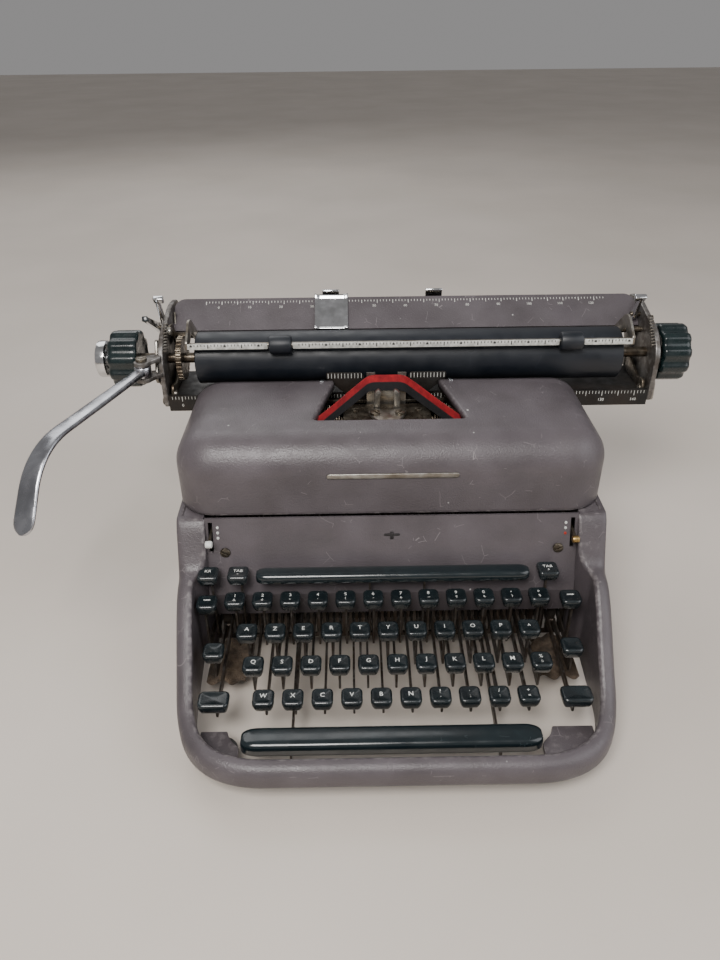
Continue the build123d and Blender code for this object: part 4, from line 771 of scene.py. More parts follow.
BRASS = Finish("brass_parts", "brass", (0.5, 0.34, 0.13), (0.28, 0.18, 0.07), (0.25, 0.45), metallic=0.95,
               mottle=140.0, rub_and_sheen=0.5, rub_and_sheen_colour=(0.75, 0.6, 0.3), stain=0.3)
FELT = Finish("pad_felt", "frame_iron", (0.2, 0.145, 0.1), (0.07, 0.05, 0.035), (0.85, 0.95),
              mottle=140.0, bump_scale=1200.0, bump_depth=0.0006, stain=0.5,
              stain_colour=(0.035, 0.028, 0.022), stain_scale=70.0)


def settle(piece: bpy.types.Object, body: str, finish: Finish, *nodes: str) -> bpy.types.Object:
    """Lets a piece ride on its body and hides the CAD nodes it stands for."""
    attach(piece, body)
    if nodes:
        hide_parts(*nodes)
    log.info("%s rides on %s, %d faces", piece.name, body, len(piece.data.polygons))
    return piece


# ------------------------------------------------------------------ casing
@dataclass
class Casing:
    """Lower casing: rolled rim, arms, cheeks and sides, with what is fixed to it."""

    place: Place
    depth: float = 345.0
    half: float = 149.0
    front_half: float = 139.0
    corner: float = 58.0
    base: float = 15.0
    rim: float = 34.0
    arm: float = 89.0
    seam: float = 121.0
    rim_width: float = 11.0
    cheek_width: float = 19.4
    wall: float = 4.0
    cheek_y: float = 120.0
    stations: int = 420
    plate_foot: tuple[float, float] = (123.0, 66.0)    # depth and height of the sloping front plate
    plate_head: tuple[float, float] = (139.0, 121.0)
    ledge: tuple[float, float] = (15.2, 19.0)
    ledge_notches: tuple[tuple[int, float], ...] = ((-1, 101.5), (1, 92.5))
    shelf: tuple[float, float] = (117.5, 120.7)
    pad_floor: float = 15.2
    mark_x: float = 120.5
    mark_heights: tuple[float, ...] = (107.1, 110.8, 114.5)
    screw_x: float = 116.0
    screw_z: float = 97.0

    def top(self, y: Array) -> Array:
        """Height of the upper edge at each depth.

        Level over the rim, then the cubic curve of the arms, a level shoulder
        and the slope of the cheeks up to the seam, all averaged over a few
        millimetres.
        """
        t = np.linspace(1, 0, 60)
        start, one, two, end = ((113, self.arm), (90, 86), (62, self.rim), (22, self.rim))
        arm_y, arm_z = ((1 - t) ** 3 * start[k] + 3 * t * (1 - t) ** 2 * one[k]
                        + 3 * t**2 * (1 - t) * two[k] + t**3 * end[k] for k in (0, 1))
        line_y = np.r_[-10, arm_y, 121, 137, 400]
        line_z = np.r_[self.rim, arm_z, self.arm + 1, self.seam, self.seam]
        spread_y = np.linspace(-3.5, 3.5, 9)
        return np.interp(y[:, None] + spread_y, line_y, line_z).mean(1)

    def shell(self) -> bpy.types.Object:
        """The casing as one closed section carried round the plan outline.

        Across the section the edge arcs are quarter circles; their radii, the
        wall's width and the height of the top change with the depth.
        """
        corners = [(-self.half, self.depth), (-self.half, self.cheek_y), (-self.front_half, 0),
                   (self.front_half, 0), (self.half, self.cheek_y), (self.half, self.depth)]
        plan = resample(rounded(corners, (0, 60, self.corner, self.corner, 60, 0), 24, False), self.stations)
        inward = square_to(plan)
        y = plan[:, 1]
        height = self.top(y)
        width = np.interp(y, (112, 126, 139, 143),
                          (self.rim_width, self.cheek_width, self.cheek_width, self.wall))
        outer = np.interp(y, (115, 132, 141), (8.0, 5.0, 1.0))
        inner = np.interp(y, (115, 132, 141), (3.2, 2.5, 1.0))
        low = self.base
        quarter = np.linspace(0, math.pi / 2, 7)[None, :]
        r_o, r_i, h, w = (v[:, None] for v in (outer, inner, height, width))
        across = np.concatenate([
            6 - 6 * np.sin(quarter) + 0 * h, r_o - r_o * np.cos(quarter),
            w - r_i + r_i * np.sin(quarter), w + 0 * h, w + 0 * h,
            w - 1.2 + 1.2 * np.cos(quarter[:, ::3])], 1)
        up = np.concatenate([
            low + 6 - 6 * np.cos(quarter) + 0 * h, h - r_o + r_o * np.sin(quarter),
            h - r_i + r_i * np.cos(quarter), h - r_i - 1.5, (h + low) / 2,
            low + 1.2 - 1.2 * np.sin(quarter[:, ::3]) + 0 * h], 1)
        flat = plan[:, None] + inward[:, None] * across[..., None]
        points = np.concatenate([flat, up[..., None]], -1)
        # lighter worn colour across the section: rubbed paint on the outer bottom arc and outer roll, and on the
        # inner top edge a painted highlight as well as rubbing
        rub_and_highlight = np.r_[np.full(7, 0.3), np.linspace(0.0, 0.4, 7), 0.5, np.full(5, 0.95), 0.6, np.zeros(5)]
        wear_and_sheen = np.broadcast_to(rub_and_highlight, up.shape)
        form = Form().grid(points, close_v=True, caps=(True, True), wear_and_sheen=wear_and_sheen)
        return form.dress("casing_shell", self.place, "machine", [PAINT], "lower_casing", crease=60)

    def plate_y(self, height: float) -> float:
        """Depth of the front plate's face at a height, on the line from its foot to its head."""
        (foot_y, foot_z), (head_y, head_z) = self.plate_foot, self.plate_head
        return foot_y + (height - foot_z) * (head_y - foot_y) / (head_z - foot_z)

    def ledges(self) -> bpy.types.Object:
        """Floor plates in the well's front corners, notched beside the space bar."""
        form = Form()
        for side, notch in self.ledge_notches:
            outline = [(side * notch, 10.5), (side * notch, 30), (side * (notch + 7), 37),
                       (side * (notch + 9), 43), (side * 128, 43), (side * 127.5, 26), (side * 118, 12)]
            form.prism(rounded(outline, (1, 2, 3, 1, 1, 8, 8)), *self.ledge, Along.Z, 0.6)
        return form.dress("corner_ledges", self.place, "machine", [PAINT])

    def shelves(self) -> bpy.types.Object:
        """Painted shelves that close the cheeks' tops below the cover's round corners."""
        form = Form()
        for side in (-1, 1):
            outline = [(side * 129.8, 138.6), (side * 144.8, 138.6), (side * 144.8, 172), (side * 129.8, 160)]
            form.prism(rounded(outline, (1, 0.5, 1, 6)), *self.shelf, Along.Z, 0.6)
        return form.dress("cheek_shelves", self.place, "machine", [PAINT])

    def pads(self) -> bpy.types.Object:
        """Frayed sound-deadening pads in the well's rear corners.

        The height above the floor is a dome, (sin pi u * sin pi v)^0.35,
        times sines of both directions at unrelated pitches.
        """
        form = Form()
        for side in (-1, 1):
            u, v = np.meshgrid(np.linspace(0, 1, 34), np.linspace(0, 1, 30), indexing="ij")
            x = side * (103 + 29 * u + 2.0 * np.sin(17 * v) * (1 - u))
            y = 88 + 42 * v + 2.2 * np.sin(13 * u)
            dome = (np.sin(math.pi * u) * np.sin(math.pi * v)) ** 0.35
            waves = 0.86 + 0.14 * np.sin(x * 1.7) * np.sin(y * 1.3 + side)
            upper = np.stack([x, y, self.pad_floor + 0.2 + 3.4 * dome * waves], -1)
            lower = np.stack([x, y, np.full_like(x, self.pad_floor)], -1)
            form.grid(upper, outward=UP).grid(lower, outward=(0, 0, -1))
        return form.dress("corner_pads", self.place, "machine", [FELT], crease=80)

    def marks(self) -> bpy.types.Object:
        """Setting marks beside the plate's lever slots, and the small key slot in its middle in painted shade."""
        form = Form()
        for side in (-1, 1):
            for number, height in enumerate(self.mark_heights):
                y = self.plate_y(height)
                finish = 1 if (side > 0 and number == 0) else 0
                form.turned([(y - 0.5, 0.5), (y - 0.45, 0.9), (y + 0.3, 1.0)], (side * self.mark_x, height),
                            Along.Y, 14, finish)
        # the slot's flat inset is painted shade standing for its depth; the upright tab is in the same dark
        # finish
        y = self.plate_y(108)
        form.prism(rounded([(-5.5, 107), (5.5, 107), (5.5, 108.6), (-5.5, 108.6)], 0.7), y - 0.5, y + 0.6,
                   Along.Y, 0.2, finish=2)
        form.prism(rounded([(-1.3, 104.5), (1.3, 104.5), (1.3, 110), (-1.3, 110)], 0.7), y - 1.2, y + 0.6,
                   Along.Y, 0.3, finish=2)
        return form.dress("setting_marks", self.place, "machine", [INK, RED_DOT, SHADED_PAINT], slot=PAINT)

    def screws(self) -> bpy.types.Object:
        """Dark slotted screws that hold the front plate."""
        form = Form()
        for side in (-1, 1):
            form.screw((side * self.screw_x, self.plate_y(self.screw_z) + 0.4, self.screw_z), 3.6, 1.9,
                       Along.Y, -1, tilt=0.5 * side)
        return form.dress("plate_screws", self.place, "machine", [OILY], "casing_screws")

    def build(self) -> None:
        """Makes every piece of the casing."""
        self.shell()
        self.ledges()
        self.shelves()
        self.pads()
        self.marks()
        self.screws()


@dataclass
class TopCover:
    """Hinged cover: walls, a broad roll and a roof cut by the type window."""

    place: Place
    half: float = 149.0
    front: float = 141.0
    back: float = 243.0
    seam: float = 121.4
    top: float = 175.5
    corner: float = 28.0
    roll: float = 24.0
    window_front: float = 177.0
    window_half: float = 56.0
    window_back: float = 42.0
    thickness: float = 2.0
    lip: float = 2.2
    lip_depth: float = 6.0

    def rows(self) -> tuple[Array, Array, Array, Array]:
        """Plan outline, its inward normals, the window outline and its normals.

        Both outlines run from the back left round the front to the back right
        with the same number of points on each side and corner.
        """
        def line(sides: Sequence[Sequence[tuple[float, float]]], radius: float) -> Array:
            """Left side, corner and front, mirrored: an arc of the radius or an eased knee."""
            turn = np.linspace(0, math.pi / 2, 14)
            left = np.linspace(*map(np.array, sides[0]), 22)
            front = np.linspace(*map(np.array, sides[1]), 50)[1:-1]
            a, b = sides[0][1], sides[1][0]
            if radius:
                arc = np.array([b[0], a[1]]) - radius * np.stack([np.cos(turn), np.sin(turn)], 1)[1:-1]
            else:
                t = np.sin(turn)[1:-1, None] ** 2
                knee = np.array([a[0] - 1.2, b[1]])
                arc = (1 - t) ** 2 * np.array(a) + 2 * t * (1 - t) * knee + t**2 * np.array(b)
            one = np.concatenate([left, arc, np.array([b])])
            return np.concatenate([one, front, one[::-1] * np.array([-1, 1])])

        c = self.corner
        plan = line((((-self.half, self.back), (-self.half, self.front + c)),
                     ((-self.half + c, self.front), (self.half - c, self.front))), c)
        w = self.window_half
        window = line((((-self.window_back, self.back), (-w + 1.4, self.window_front + 7)),
                       ((-w + 7, self.window_front), (w - 7, self.window_front))), 0)

        return plan, square_to(plan), window, square_to(window)

    def shell(self) -> bpy.types.Object:
        """Cover skin over two parameters, round the plan and up its section.

        The wall rises to the roll, a quarter circle of the roll's radius; the
        roof then runs straight to the window outline, where a small quarter
        circle turns it down into a lip.
        """
        plan, inward, window, into = self.rows()
        rows: list[Array] = []
        wear_and_sheen: list[float] = []

        def row(flat: Array, z: float, exposed: float) -> None:
            """Keeps one line of the skin at a height, with its exposure to wear and to painted highlight."""
            rows.append(np.column_stack([flat, np.full(len(flat), z)]))
            wear_and_sheen.append(exposed)

        # the seam's bright edge, the middle of the nose roll and the window lip take the lighter worn colour:
        # painted highlights as well as rubbed paint
        row(plan + inward * 0.8, self.seam, 1.0)
        row(plan, self.seam + 0.9, 0.9)
        for z in np.linspace(self.seam + 3, self.top - self.roll, 8):
            row(plan, z, 0.0)
        for a in np.linspace(0, math.pi / 2, 18)[1:]:
            shift = self.roll * (1 - math.cos(a))
            row(plan + inward * shift, self.top - self.roll + self.roll * math.sin(a),
                0.25 * math.sin(2 * a))
        edge = plan + inward * self.roll
        edge[:, 1] = np.minimum(edge[:, 1], self.back)
        for s in np.linspace(0, 1, 14)[1:]:
            flat = edge * (1 - s) + window * s
            row(flat, self.top, 0.0 if s < 0.97 else 0.4)
        for a in np.linspace(0, math.pi / 2, 5)[1:]:
            row(window + into * self.lip * math.sin(a), self.top - self.lip * (1 - math.cos(a)), 0.6)
        row(window + into * self.lip, self.top - self.lip_depth, 0.1)
        points = np.stack(rows)
        points[..., 1] = np.minimum(points[..., 1], self.back)
        form = Form().grid(points, wear_and_sheen=np.repeat(wear_and_sheen, points.shape[1]), outward=UP)
        piece = form.piece("cover_shell", self.place, [PAINT], 70)
        wall = piece.modifiers.new("wall", "SOLIDIFY")
        wall.thickness, wall.offset = self.thickness * MM, -1.0
        return settle(piece, "cover", PAINT, "top_cover")

    def trim(self) -> bpy.types.Object:
        """Plain bright strip across the cover's nose."""
        outline = rounded([(-44, 150.4), (45, 150.4), (45, 154.2), (-44, 154.2)], 1.9, 7)
        form = Form().prism(outline, self.front - 0.9, self.front + 0.6, Along.Y, 0.6, 3)
        return form.dress("nose_strip", self.place, "cover", [STEEL])

    def build(self) -> None:
        """Makes the cover and its strip."""
        self.shell()
        self.trim()


# ------------------------------------------------------------------ keyboard
@dataclass(frozen=True)
class Row:
    """One row of keys: depth, height of the caps' faces, first key and legends."""

    body: str
    y: float
    top: float
    first: float
    slot: int
    legends: tuple[str, ...]


@dataclass
class Keyboard:
    """Key caps with their legends and levers, the bars and the side keys."""

    place: Place
    pitch: float = 19.05
    width: float = 14.0
    deep: float = 13.5
    height: float = 8.7
    taper: float = 3.5
    dish: float = 0.85
    first_lever: float = -113.4
    fulcrum: tuple[float, float] = (250.0, 45.0)
    rows: tuple[Row, ...] = (
        Row("number_row_keys", 109.0, 75.7, -108.9, 1,
            ("1 &", "2 é", "3 \"", "4 '", "5 (", "6 -", "7 è", "8 _", "9 ç", "0 à", "° )", "* $")),
        Row("upper_row_keys", 89.5, 64.3, -99.4, 3, tuple("AZERTYUIOP^")),
        Row("lower_row_keys", 50.0, 43.4, -86.2, 6,
            ("W", "X", "C", "V", "B", "N", "? ,", ". ;", "/ :", "+ =")),
    )
    home: tuple[tuple[str, str], ...] = (
        ("q", "Q"), ("s", "S"), ("d", "D"), ("f", "F"), ("g", "G"), ("h", "H"), ("j", "J"),
        ("k", "K"), ("l", "L"), ("m", "M"), ("percent", "% ù"))
    home_y: float = 70.0
    home_top: float = 53.2
    home_first: float = -94.0
    home_slot: int = 4
    side_y: float = 106.0
    side_top: float = 75.7
    tab_y: float = 118.6
    tab_top: float = 90.5
    tab_height: float = 8.3
    tab_stem: float = 2.6
    grip: float = 4.0            # how deep a stem stands in its cap
    shift_y: float = 49.0
    shift_top: float = 43.4
    shift_width: float = 20.0
    lock_y: float = 78.0
    lock_top: float = 58.0
    rod: tuple[float, float] = (150.0, 20.0)

    def lever_place(self, slot: float) -> float:
        """Place across of a slot of the key comb; four rows share each key pitch."""
        return self.first_lever + self.pitch / 4 * slot

    def underside(self, y: float) -> float:
        """Height of a lever's lower edge at a depth."""
        return 27.0 + 0.075 * (y - 50.0)

    def cap(self, form: Form, x: float, y: float, top: float, width: float = 14.0,
            deep: float = 13.5, height: float = 8.7, dish: float = 0.85, radius: float = 3.4,
            finish: int = 0) -> None:
        """Moulded cap as a stack of rounded rectangles.

        From foot to face the sides swell slightly, the upper edge is a quarter
        circle and the face sinks by dish * (1 - r^2) towards its middle.

        Args:
            form: the piece it is added to.
            x: middle of the cap.
            y: depth of its middle.
            top: height of its face.
            width: face width.
            deep: face depth.
            height: face to foot.
            dish: depth of the hollow; negative for a crown.
            radius: corner radius of the face.
            finish: number of the finish.
        """
        easing = min(1.7, height / 4)
        # the third column is exposure: rubbing, and a painted highlight along the cap's upper edge
        rows: list[tuple[float, float, float]] = []   # shrink, height, wear
        foot = top - height
        rows.append((self.taper + 1.0, foot, 0.0))
        rows.append((self.taper, foot + 0.5, 0.2))
        for t in np.linspace(0.12, 1, 5):
            rows.append((self.taper * (1 - t) ** 2.2, foot + 0.5 + (height - 0.5 - easing) * t, 0.0))
        # the rounded upper edge takes the lighter worn colour most at its middle: a painted highlight along the
        # fold as well as rubbing
        for a in np.linspace(0, math.pi / 2, 5)[1:]:
            rows.append((2 * easing * (1 - math.cos(a)), top - easing + easing * math.sin(a),
                         0.9 * math.sin(2 * a)))
        stack, wear_and_sheen = [], []
        for shrink, z, exposed in rows:
            ring = rounded_rectangle(width - shrink, deep - shrink, max(radius - shrink / 2, 1.4))
            stack.append(spread(Along.Z, z, ring + np.array([x, y])))
            wear_and_sheen.append(exposed)
        rim = rounded_rectangle(width - 2 * easing, deep - 2 * easing, max(radius - easing, 1.4))
        for share in (0.93, 0.84, 0.72, 0.58, 0.42, 0.26, 0.1):
            stack.append(spread(Along.Z, top - dish * (1 - share**2), rim * share + np.array([x, y])))
            wear_and_sheen.append(0.0)
        form.rings(stack, finish, wear_and_sheen)

    def bar(self, form: Form, middle: float, y: float, top: float, half: float, deep: float,
            height: float, crown: float, finish: int = 0) -> None:
        """Long bar: an eased section carried across, its ends rounded in plan.

        The section is a rounded rectangle with a crowned top; at a distance d
        from an end closer than the end's reach r it shrinks by
        1 - sqrt(1 - (1 - d/r)^2) of a quarter of its size.
        """
        ring = rounded_rectangle(deep, height, 3.6, 6, 5)
        ring[:, 0] *= 1 - 0.16 * np.clip(-ring[:, 1] / height + 0.5, 0, 1)
        ring[:, 1] += crown * (1 - (2 * ring[:, 0] / deep) ** 2) * (ring[:, 1] > 0)
        reach = deep * 0.62
        inner = np.linspace(-half + reach, half - reach, 24)
        bend = np.sin(np.linspace(-math.pi / 2, 0, 10))[:-1]
        x = np.concatenate([-half + reach + reach * bend, inner, half - reach - reach * bend[::-1]])
        near = np.clip((reach - (half - np.abs(x))) / reach, 0, 1)
        shrink = np.sqrt(np.maximum(1 - near**2, 0.02))
        size = 0.45 + 0.55 * shrink
        tall = 0.72 + 0.28 * shrink
        points = np.stack([
            np.broadcast_to(x[:, None] + middle, (len(x), len(ring))),
            y + ring[None, :, 0] * size[:, None],
            top - crown - height / 2 + ring[None, :, 1] * tall[:, None]], -1)
        # top and bottom bands take the lighter worn colour: a painted highlight along the crowned top as well as
        # rubbing
        wear_and_sheen = np.broadcast_to(0.5 * (np.abs(ring[:, 1]) > height * 0.3), (len(x), len(ring)))
        form.grid(points, close_v=True, caps=(True, True), finish=finish, wear_and_sheen=wear_and_sheen.astype(float))

    def lever(self, form: Form, x: float, y: float, stem_top: float, stem: float = 4.0,
              finish: int = 1) -> None:
        """Flat steel lever from the stem under a cap back to the fulcrum shaft."""
        front, back = y - stem / 2, y + stem / 2
        fy, fz = self.fulcrum
        outline = rounded([(front, self.underside(front)), (fy - 3, self.underside(fy - 3)), (fy, fz - 6),
                           (fy + 6, fz), (fy, fz + 6), (fy - 6, fz + 1.5), (back + 3, self.underside(back) + 6.2),
                           (back, self.underside(back) + 9), (back, stem_top), (front, stem_top)],
                          (2, 1, 4, 4, 4, 3, 2, 3, 0.3, 0.3), 3)
        form.prism(outline, x - 0.75, x + 0.75, Along.X, 0.25, 1, finish)

    def legend(self, form: Form, text: str, x: float, y: float, top: float) -> None:
        """White legend on a cap's face: one letter, or an upper and a lower mark."""
        def drop(points: Array) -> Array:
            """Depth of the hollow under flat points."""
            far = ((points[:, 0] - x) / 5.3) ** 2 + ((points[:, 1] - y) / 5.05) ** 2
            return self.dish * (1 - np.clip(far, 0, 1) * 0.86) - 0.17

        marks = text.split(" ")
        places = ((1.1, 4.6),) if len(marks) == 1 else ((2.5, 3.6), (-1.9, 3.4))
        for mark, (shift, size) in zip(marks, places):
            Lettering.lay(form, mark, size, np.array([x, y + shift, top]), np.eye(3), 2, drop)

    def one(self, form: Form, x: float, y: float, top: float, lever_x: float, text: str = "",
            width: float = 14.0) -> None:
        """One key: cap, lever and legend."""
        self.cap(form, x, y, top, width)
        self.lever(form, lever_x, y, top - self.height + self.grip)
        if text:
            self.legend(form, text, x, y, top)

    def letter_rows(self) -> None:
        """The four rows of type keys; each home key is a piece of its own."""
        for row in self.rows:
            form = Form()
            for number, text in enumerate(row.legends):
                self.one(form, row.first + self.pitch * number, row.y, row.top,
                         self.lever_place(row.slot + 4 * number), text)
            form.dress(row.body + "_set", self.place, row.body, [KEY, BLUED, INK], row.body)
        for number, (name, text) in enumerate(self.home):
            form = Form()
            self.one(form, self.home_first + self.pitch * number, self.home_y, self.home_top,
                     self.lever_place(self.home_slot + 4 * number), text)
            form.dress(f"home_key_{name}", self.place, f"key_{name}", [KEY, BLUED, INK], f"key_{name}")

    def side_keys(self) -> None:
        """Backspace and margin release at the ends of the number row, each with a dash."""
        for name, x, lever_x in (("backspace_key", -127.6, -129.4), ("margin_release_key", 121.7, 123.6)):
            form = Form()
            self.one(form, x, self.side_y, self.side_top, lever_x)
            centre = np.array([[x, self.side_y + 1.6, self.side_top - 0.66]])
            form.plates(centre, (2.3, 0.4, 0.12), np.eye(3), 2)
            form.dress(name + "_set", self.place, name, [KEY, BLUED, INK], name)

    def tab_keys(self) -> None:
        """Keys in front of the front plate and the long bar between them."""
        rows = (("margin_set_key", -127.0, -125.4, "KR"), ("tab_clear_key", -106.4, -104.8, "TAB -"),
                ("tab_set_key", 107.0, 107.0, "TAB +"))
        for name, x, lever_x, text in rows:
            form = Form()
            self.cap(form, x, self.tab_y, self.tab_top, height=self.tab_height, radius=2.6)
            self.lever(form, lever_x, self.tab_y + 0.6, self.tab_top - self.tab_height + self.grip,
                       self.tab_stem)
            marks = text.split(" ")
            for mark, (shift, size) in zip(marks, ((1.6, 3.7), (-1.9, 3.2))):
                spot = np.array([x, self.tab_y + shift, self.tab_top - 0.42])
                Lettering.lay(form, mark, size, spot, np.eye(3), 2)
            form.dress(name + "_set", self.place, name, [KEY, BLUED, INK], name)
        form = Form()
        self.bar(form, 0, self.tab_y, self.tab_top, 93.8, 13.0, self.tab_height, 0.5)
        for slot in (20.5, 28.5):
            self.lever(form, self.lever_place(slot), self.tab_y + 0.6, 84.0, self.tab_stem)
        form.dress("tab_bar_set", self.place, "tab_bar", [BAR, BLUED], "tab_bar")

    def space_bar(self) -> None:
        """Space bar on its two low arms."""
        form = Form()
        self.bar(form, -4.5, 26.0, 35.0, 94.0, 17.0, 12.0, 0.7)
        fy, fz = self.fulcrum
        for slot in (9.5, 37.5):
            x = self.lever_place(slot)
            outline = rounded([(24, 12), (fy - 3, fz - 3.4), (fy, fz - 6), (fy + 6, fz), (fy, fz + 6),
                               (fy - 6, fz + 2), (31, 18.5), (28, 21), (28, 27), (24, 27)],
                              (3, 1, 4, 4, 4, 3, 3, 3, 0.3, 0.3), 3)
            form.prism(outline, x - 0.75, x + 0.75, Along.X, 0.25, 1, 1)
        form.dress("space_bar_set", self.place, "space_bar", [BAR, BLUED], "space_bar")

    def shifts(self) -> None:
        """Shift keys with their tie rod, and the shift locks that ride on them."""
        form = Form()
        for x, lever_x, pin in ((-118.0, -116.8, (-122.4, -116.8)), (116.0, 114.8, (114.8, 120.4))):
            self.one(form, x, self.shift_y, self.shift_top, lever_x, width=self.shift_width)
            lug = rounded([(146, 17), (154, 17), (154, 35.5), (146, 35.5)], (3, 3, 0.3, 0.3))
            form.prism(lug, lever_x - 0.75, lever_x + 0.75, Along.X, 0.25, 1, 1)
            form.turned([(pin[0], 1.2), (pin[0] + 0.3, 1.5), (pin[1] - 0.3, 1.5), (pin[1], 1.2)],
                        (125, 35.5), Along.X, 16, 1)
        form.turned([(-116, 1.7), (-115.7, 2), (113.7, 2), (114, 1.7)], self.rod, Along.X, 20, 1)
        form.dress("shift_keys_set", self.place, "shift_keys", [KEY, BLUED], "shift_keys")
        form = Form()
        for x, lever_x in ((-120.7, -120.9), (118.0, 118.9)):
            self.cap(form, x, self.lock_y, self.lock_top)
            outline = rounded([(76, 32.5), (122, 32.5), (125, 32.2), (128.3, 35.5), (125, 38.8), (122, 38.5),
                               (84, 38.5), (80, 42), (80, 53.3), (76, 53.3)],
                              (3, 1, 2, 2, 2, 1, 2, 3, 0.3, 0.3), 3)
            form.prism(outline, lever_x - 0.75, lever_x + 0.75, Along.X, 0.25, 1, 1)
        form.dress("shift_lock_set", self.place, "shift_lock_keys", [KEY, BLUED], "shift_lock_keys")

    def build(self) -> None:
        """Makes every key."""
        self.letter_rows()
        self.side_keys()
        self.tab_keys()
        self.space_bar()
        self.shifts()


# ------------------------------------------------------------------ type area
@dataclass
class TypeArea:
    """What shows in the window of the cover: ribbon, guide, gauge and plate levers."""

    place: Place
    ribbon_height: float = 13.0
    ribbon_half: float = 0.13
    deck: float = 156.0
    deck_top: float = 158.2
    gauge_top: float = 181.0
    path: tuple[Point, ...] = ((-90, 177, 146), (-64, 177, 153), (-13, 237.8, 169),
                               (13, 237.8, 169), (64, 177, 153), (90, 177, 146))

    def ribbon(self) -> bpy.types.Object:
        """Inked ribbon drawn taut from spool to spool past the printing point.

        The lower edge follows the path with eased corners; the height above
        it is the band, and the two faces stand a quarter millimetre apart, with a
        slight belly of sine waves between the edges.
        """
        line = resample(rounded(self.path, (0, 7, 5, 5, 7, 0), 9, False), 150)
        outward = np.column_stack([-square_to(line[:, :2]), np.zeros(len(line))])
        share = np.linspace(0, 1, 9)
        offset = np.repeat((self.ribbon_half, -self.ribbon_half), len(share))
        height = np.r_[share, share[::-1]]
        belly = 0.5 * np.sin(np.linspace(0, 9 * math.pi, len(line)))[:, None] * (height - 0.5)
        points = line[:, None] + outward[:, None] * (offset + belly)[..., None]
        points = points + np.array(UP) * (height * self.ribbon_height)[None, :, None]
        band = np.broadcast_to(height, points.shape[:2])
        form = Form().grid(points, close_v=True, caps=(True, True), band=band.copy())
        piece = form.dress("inked_ribbon", self.place, "machine", [CLOTH], "ribbon", crease=60)
        run = float(np.linalg.norm(np.diff(line, axis=0), axis=1).sum()) * MM
        return piece

    def guide(self) -> bpy.types.Object:
        """Guide plate with its heart-shaped centre piece, fork, screws and card holders."""
        form = Form()
        plate = [(-30, 191), (30, 191), (33, 205), (33, 236.8), (-33, 236.8), (-33, 205)]
        form.prism(rounded(plate, (5, 5, 4, 2, 2, 4)), self.deck, self.deck_top, Along.Z, 0.5, finish=1)
        form.box((-46, 46), (242.8, 245.8), (self.deck, self.deck_top + 0.2), finish=1)
        lip = [(-31, 190.2), (31, 190.2), (31, 192), (-31, 192)]
        form.prism(rounded(lip, 0.6), self.deck, self.deck + 7.5, Along.Z, 0.5)
        heart = [(-15, 219), (-10, 224), (0, 220.5), (10, 224), (15, 219), (9, 206), (0, 199.5), (-9, 206)]
        form.prism(rounded(heart, (3, 3, 2, 3, 3, 4, 3, 4), 6), self.deck_top, self.deck_top + 3, Along.Z,
                   0.8, 3)
        for side in (-1, 1):
            form.screw((side * 9.4, 214.5, 161.0), 3.7, 2.0, Along.Z, 1, tilt=0.9 * side, finish=1)
            fork = [(side * 5.2, self.deck_top), (side * 5.2, 170), (side * 4.2, 173), (side * 6, 175.6),
                    (side * 9.4, 173.4), (side * 10, self.deck_top)]
            form.prism(rounded(fork, (0.3, 1, 1, 1.5, 1.5, 0.3)), 224.2, 228.6, Along.Y, 0.5)
            wing = [(side * 16, self.deck_top), (side * 16, 176), (side * 19, self.gauge_top),
                    (side * 46, self.gauge_top), (side * 46, 176), (side * 30, 162), (side * 30, self.deck_top)]
            form.prism(rounded(wing, (0.3, 2, 1, 1.5, 1.5, 3, 0.3)), 244.6, 245.6, Along.Y, 0.3, finish=4)
            card = [(side * 47, 244.8), (side * 50.5, 243.6), (side * 51.5, 240.4), (side * 48, 239.6)]
            form.prism(rounded(card, 1.4), 160, 176, Along.Z, 0.4, finish=2)
            ticks = np.array([[side * x, 244.5, self.gauge_top - 2.6] for x in np.arange(19, 45, CHARACTER)])
            form.plates(ticks, (0.22, 0.08, 1.9), np.eye(3), 3)
            form.coil((side * 24, 198, 159.6), (side * 24, 212, 159.6), 1.6, 8, 0.35, 1)
            form.screw((side * 24, 226, 158.0), 2.8, 1.5, Along.Z, 1, tilt=0.3, finish=1)
        finishes = [STEEL, OILY, CHROME, SCALE_INK, IRON]
        return form.dress("type_guide_set", self.place, "machine", finishes, "type_guide")

    def plate_levers(self) -> None:
        """Ribbon selector and touch lever: flat levers with a turned button each."""
        for name, side, finish in (("ribbon_selector", -1, INK), ("touch_lever", 1, BRASS)):
            form = Form()
            x = side * 125.5
            outline = rounded([(127, 106.2), (168, 104.6), (172, 104), (176, 108), (172, 112), (168, 111.4),
                               (127, 109.8)], (1, 2, 3, 3, 3, 2, 1), 4)
            form.prism(outline, x - 0.8, x + 0.8, Along.X, 0.3)
            form.turned([(x - 2.4, 1.7), (x - 2.1, 2.3), (x - 1.2, 2.6), (x + 1.2, 2.6), (x + 2.1, 2.3),
                         (x + 2.4, 1.7)], (126.5, 108), Along.X, 24, 1)
            form.dress(name + "_set", self.place, name, [OILY, finish], name)

    def build(self) -> None:
        """Makes the pieces of the type window."""
        self.ribbon()
        self.guide()
        self.plate_levers()


